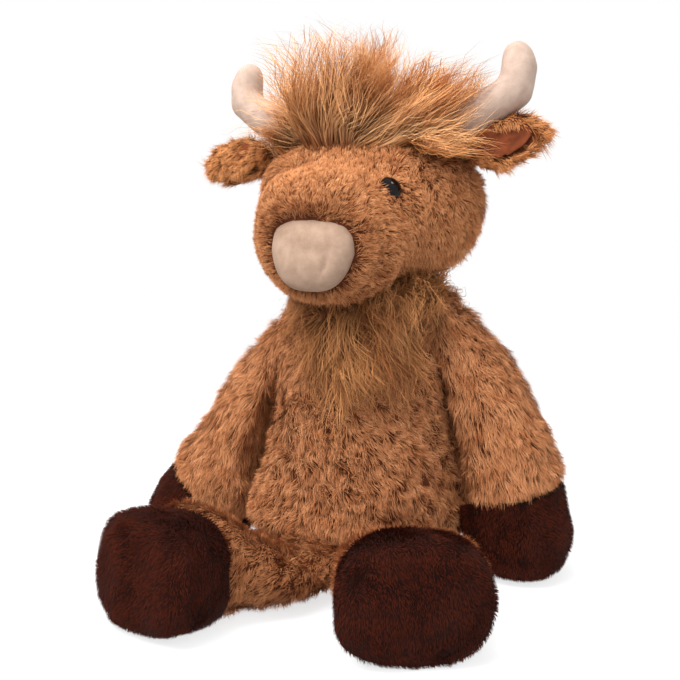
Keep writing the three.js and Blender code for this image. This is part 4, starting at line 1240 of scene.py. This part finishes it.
finish(torso, "torso", "under")
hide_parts(*TORSO_NODES)
finish(torso_front, "torso")
finish(torso_back, "torso")
finish(ruff, "torso")
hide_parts("chest_ruff")
finish(head, "head", "under")
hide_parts("head_skin", "head_stuffing")
finish(head_front, "head")
finish(head_back, "head")
finish(forelock, "head")
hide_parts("forelock")
finish(nose, "head", "nose")
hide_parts("nose_pad")
finish(nose_fuzz, "head")
finish(tail, "tail", "under")
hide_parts("tail_rope")
finish(tail_pile, "tail")
finish(tuft, "tail", "under")
finish(tuft_hair, "tail")
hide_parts("tail_tuft")
for s in SIDES:
    word = BODY_OF_SIDE[s]
    bead = make_eye(s)
    finish(bead, "head", "bead")
    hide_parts(f"eye_{s}")
    washer_looks = frame["nodes"][f"eye_washer_{s}"].data.materials
    washer_looks.clear()
    washer_looks.append(LOOKS["washer"])
    finish(horns[s], "head", "beige")
    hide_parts(f"horn_{s}")
    finish(horn_fuzz[s], "head")
    finish(ears[s], f"{word}_ear", "under")
    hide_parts(f"ear_{s}")
    finish(ear_piles[s], f"{word}_ear")
    finish(fringes[s], f"{word}_ear")
    finish(linings[s], f"{word}_ear", "rust")
    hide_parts(f"ear_lining_{s}")
    finish(arms[s], f"{word}_arm", "under")
    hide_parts(f"arm_sleeve_{s}", f"arm_stuffing_{s}")
    finish(piles["arm_pile", s], f"{word}_arm")
    finish(hands[s], f"{word}_arm", "under hoof")
    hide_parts(f"hand_hoof_{s}")
    finish(piles["hand_pile", s], f"{word}_arm")
    finish(legs[s], f"{word}_leg", "under")
    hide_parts(f"leg_sleeve_{s}", f"leg_stuffing_{s}")
    finish(piles["leg_pile", s], f"{word}_leg")
    finish(feet[s], f"{word}_leg", "under hoof")
    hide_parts(f"foot_hoof_{s}")
    finish(piles["foot_pile", s], f"{word}_leg")


# Stage, lights, camera

GROUND_HALF = 1.2
GROUND_FADE = (0.45, 1.1)       # from the middle, where the ground fades into the background
GROUND_BELOW = 0.3 * MM


def make_floor():
    """A white ground that fades into the white behind it"""
    made, t = material("White ground")
    place = t.out("ShaderNodeTexCoord", which=OBJECT_PLACE)
    away = t.out("ShaderNodeVectorMath", place, operation="LENGTH", which=0)
    far = t.out("ShaderNodeMapRange", away, *GROUND_FADE, 0.7, 1.0)
    cloth = t.out("ShaderNodeBsdfDiffuse", (0.93, 0.93, 0.93, 1), 1.0)
    clear = t.out("ShaderNodeBsdfTransparent", (1, 1, 1, 1))
    t.node("ShaderNodeOutputMaterial", t.out("ShaderNodeMixShader", far, cloth, clear))
    mesh = bpy.data.meshes.new("floor")
    corners = ((-1, -1), (1, -1), (1, 1), (-1, 1))
    points = [(x * GROUND_HALF, y * GROUND_HALF, -GROUND_BELOW) for x, y in corners]
    mesh.from_pydata(points, [], [(0, 1, 2, 3)])
    mesh.materials.append(made)
    floor = new_object("floor", mesh)


def area_light(name, place, aim, size, power, mirrored=False):
    """A round lamp that looks at a place. Only a mirrored one shows in glossy pieces."""
    lamp = bpy.data.lights.new(name, "AREA")
    lamp.shape = "DISK"
    lamp.size = size
    lamp.energy = power
    obj = bpy.data.objects.new(name, lamp)
    obj.location = place
    obj.rotation_euler = (Vector(aim) - Vector(place)).to_track_quat("-Z", "Y").to_euler()
    obj.visible_glossy = mirrored
    bpy.context.scene.collection.objects.link(obj)


def make_world():
    """White to the camera, and a soft white light on the toy"""
    world = bpy.data.worlds.new("Studio")
    bpy.context.scene.world = world
    world.use_nodes = True
    world.node_tree.nodes.clear()
    t = Tree(world.node_tree)
    seen = t.node("ShaderNodeLightPath")
    direct = t.math("MAXIMUM", seen.outputs["Is Camera Ray"], seen.outputs["Is Transmission Ray"])
    soft = t.out("ShaderNodeBackground", (1, 1, 1, 1), 0.7)
    white = t.out("ShaderNodeBackground", (1, 1, 1, 1), 1.0)
    t.node("ShaderNodeOutputWorld", t.out("ShaderNodeMixShader", direct, soft, white))


make_floor()
make_world()
area_light("key", (-0.75, -0.75, 1.35), (0, 0, 0.18), 0.9, 24)
area_light("fill", (0.7, -1.2, 0.8), (0, 0, 0.18), 1.2, 9)
area_light("top", (0.0, -0.4, 1.6), (0, 0, 0.2), 1.0, 20)
area_light("glint", (0.62, 0.27, 1.28), (0, 0, 0.27), 0.22, 1.0, mirrored=True)

CAMERA_AZIMUTH, CAMERA_HEIGHT, CAMERA_AWAY = math.radians(17.5), math.radians(8.3), 0.76
CAMERA_AIM = NECK + Vector((-5.05, -39.6, -50)) * MM


def make_camera():
    """A long lens, a little to the toy's left and above it"""
    camera = bpy.data.cameras.new("Camera")
    camera.sensor_width = 36
    camera.lens = 58.5
    holder = bpy.data.objects.new("Camera", camera)
    bpy.context.scene.collection.objects.link(holder)
    level = math.cos(CAMERA_HEIGHT)
    back = Vector((math.sin(CAMERA_AZIMUTH) * level, -math.cos(CAMERA_AZIMUTH) * level,
                   math.sin(CAMERA_HEIGHT)))
    holder.location = CAMERA_AIM + back * CAMERA_AWAY
    holder.rotation_euler = back.to_track_quat("Z", "Y").to_euler()
    return holder


scene = bpy.context.scene
scene.camera = make_camera()
scene.view_settings.view_transform = "Standard"
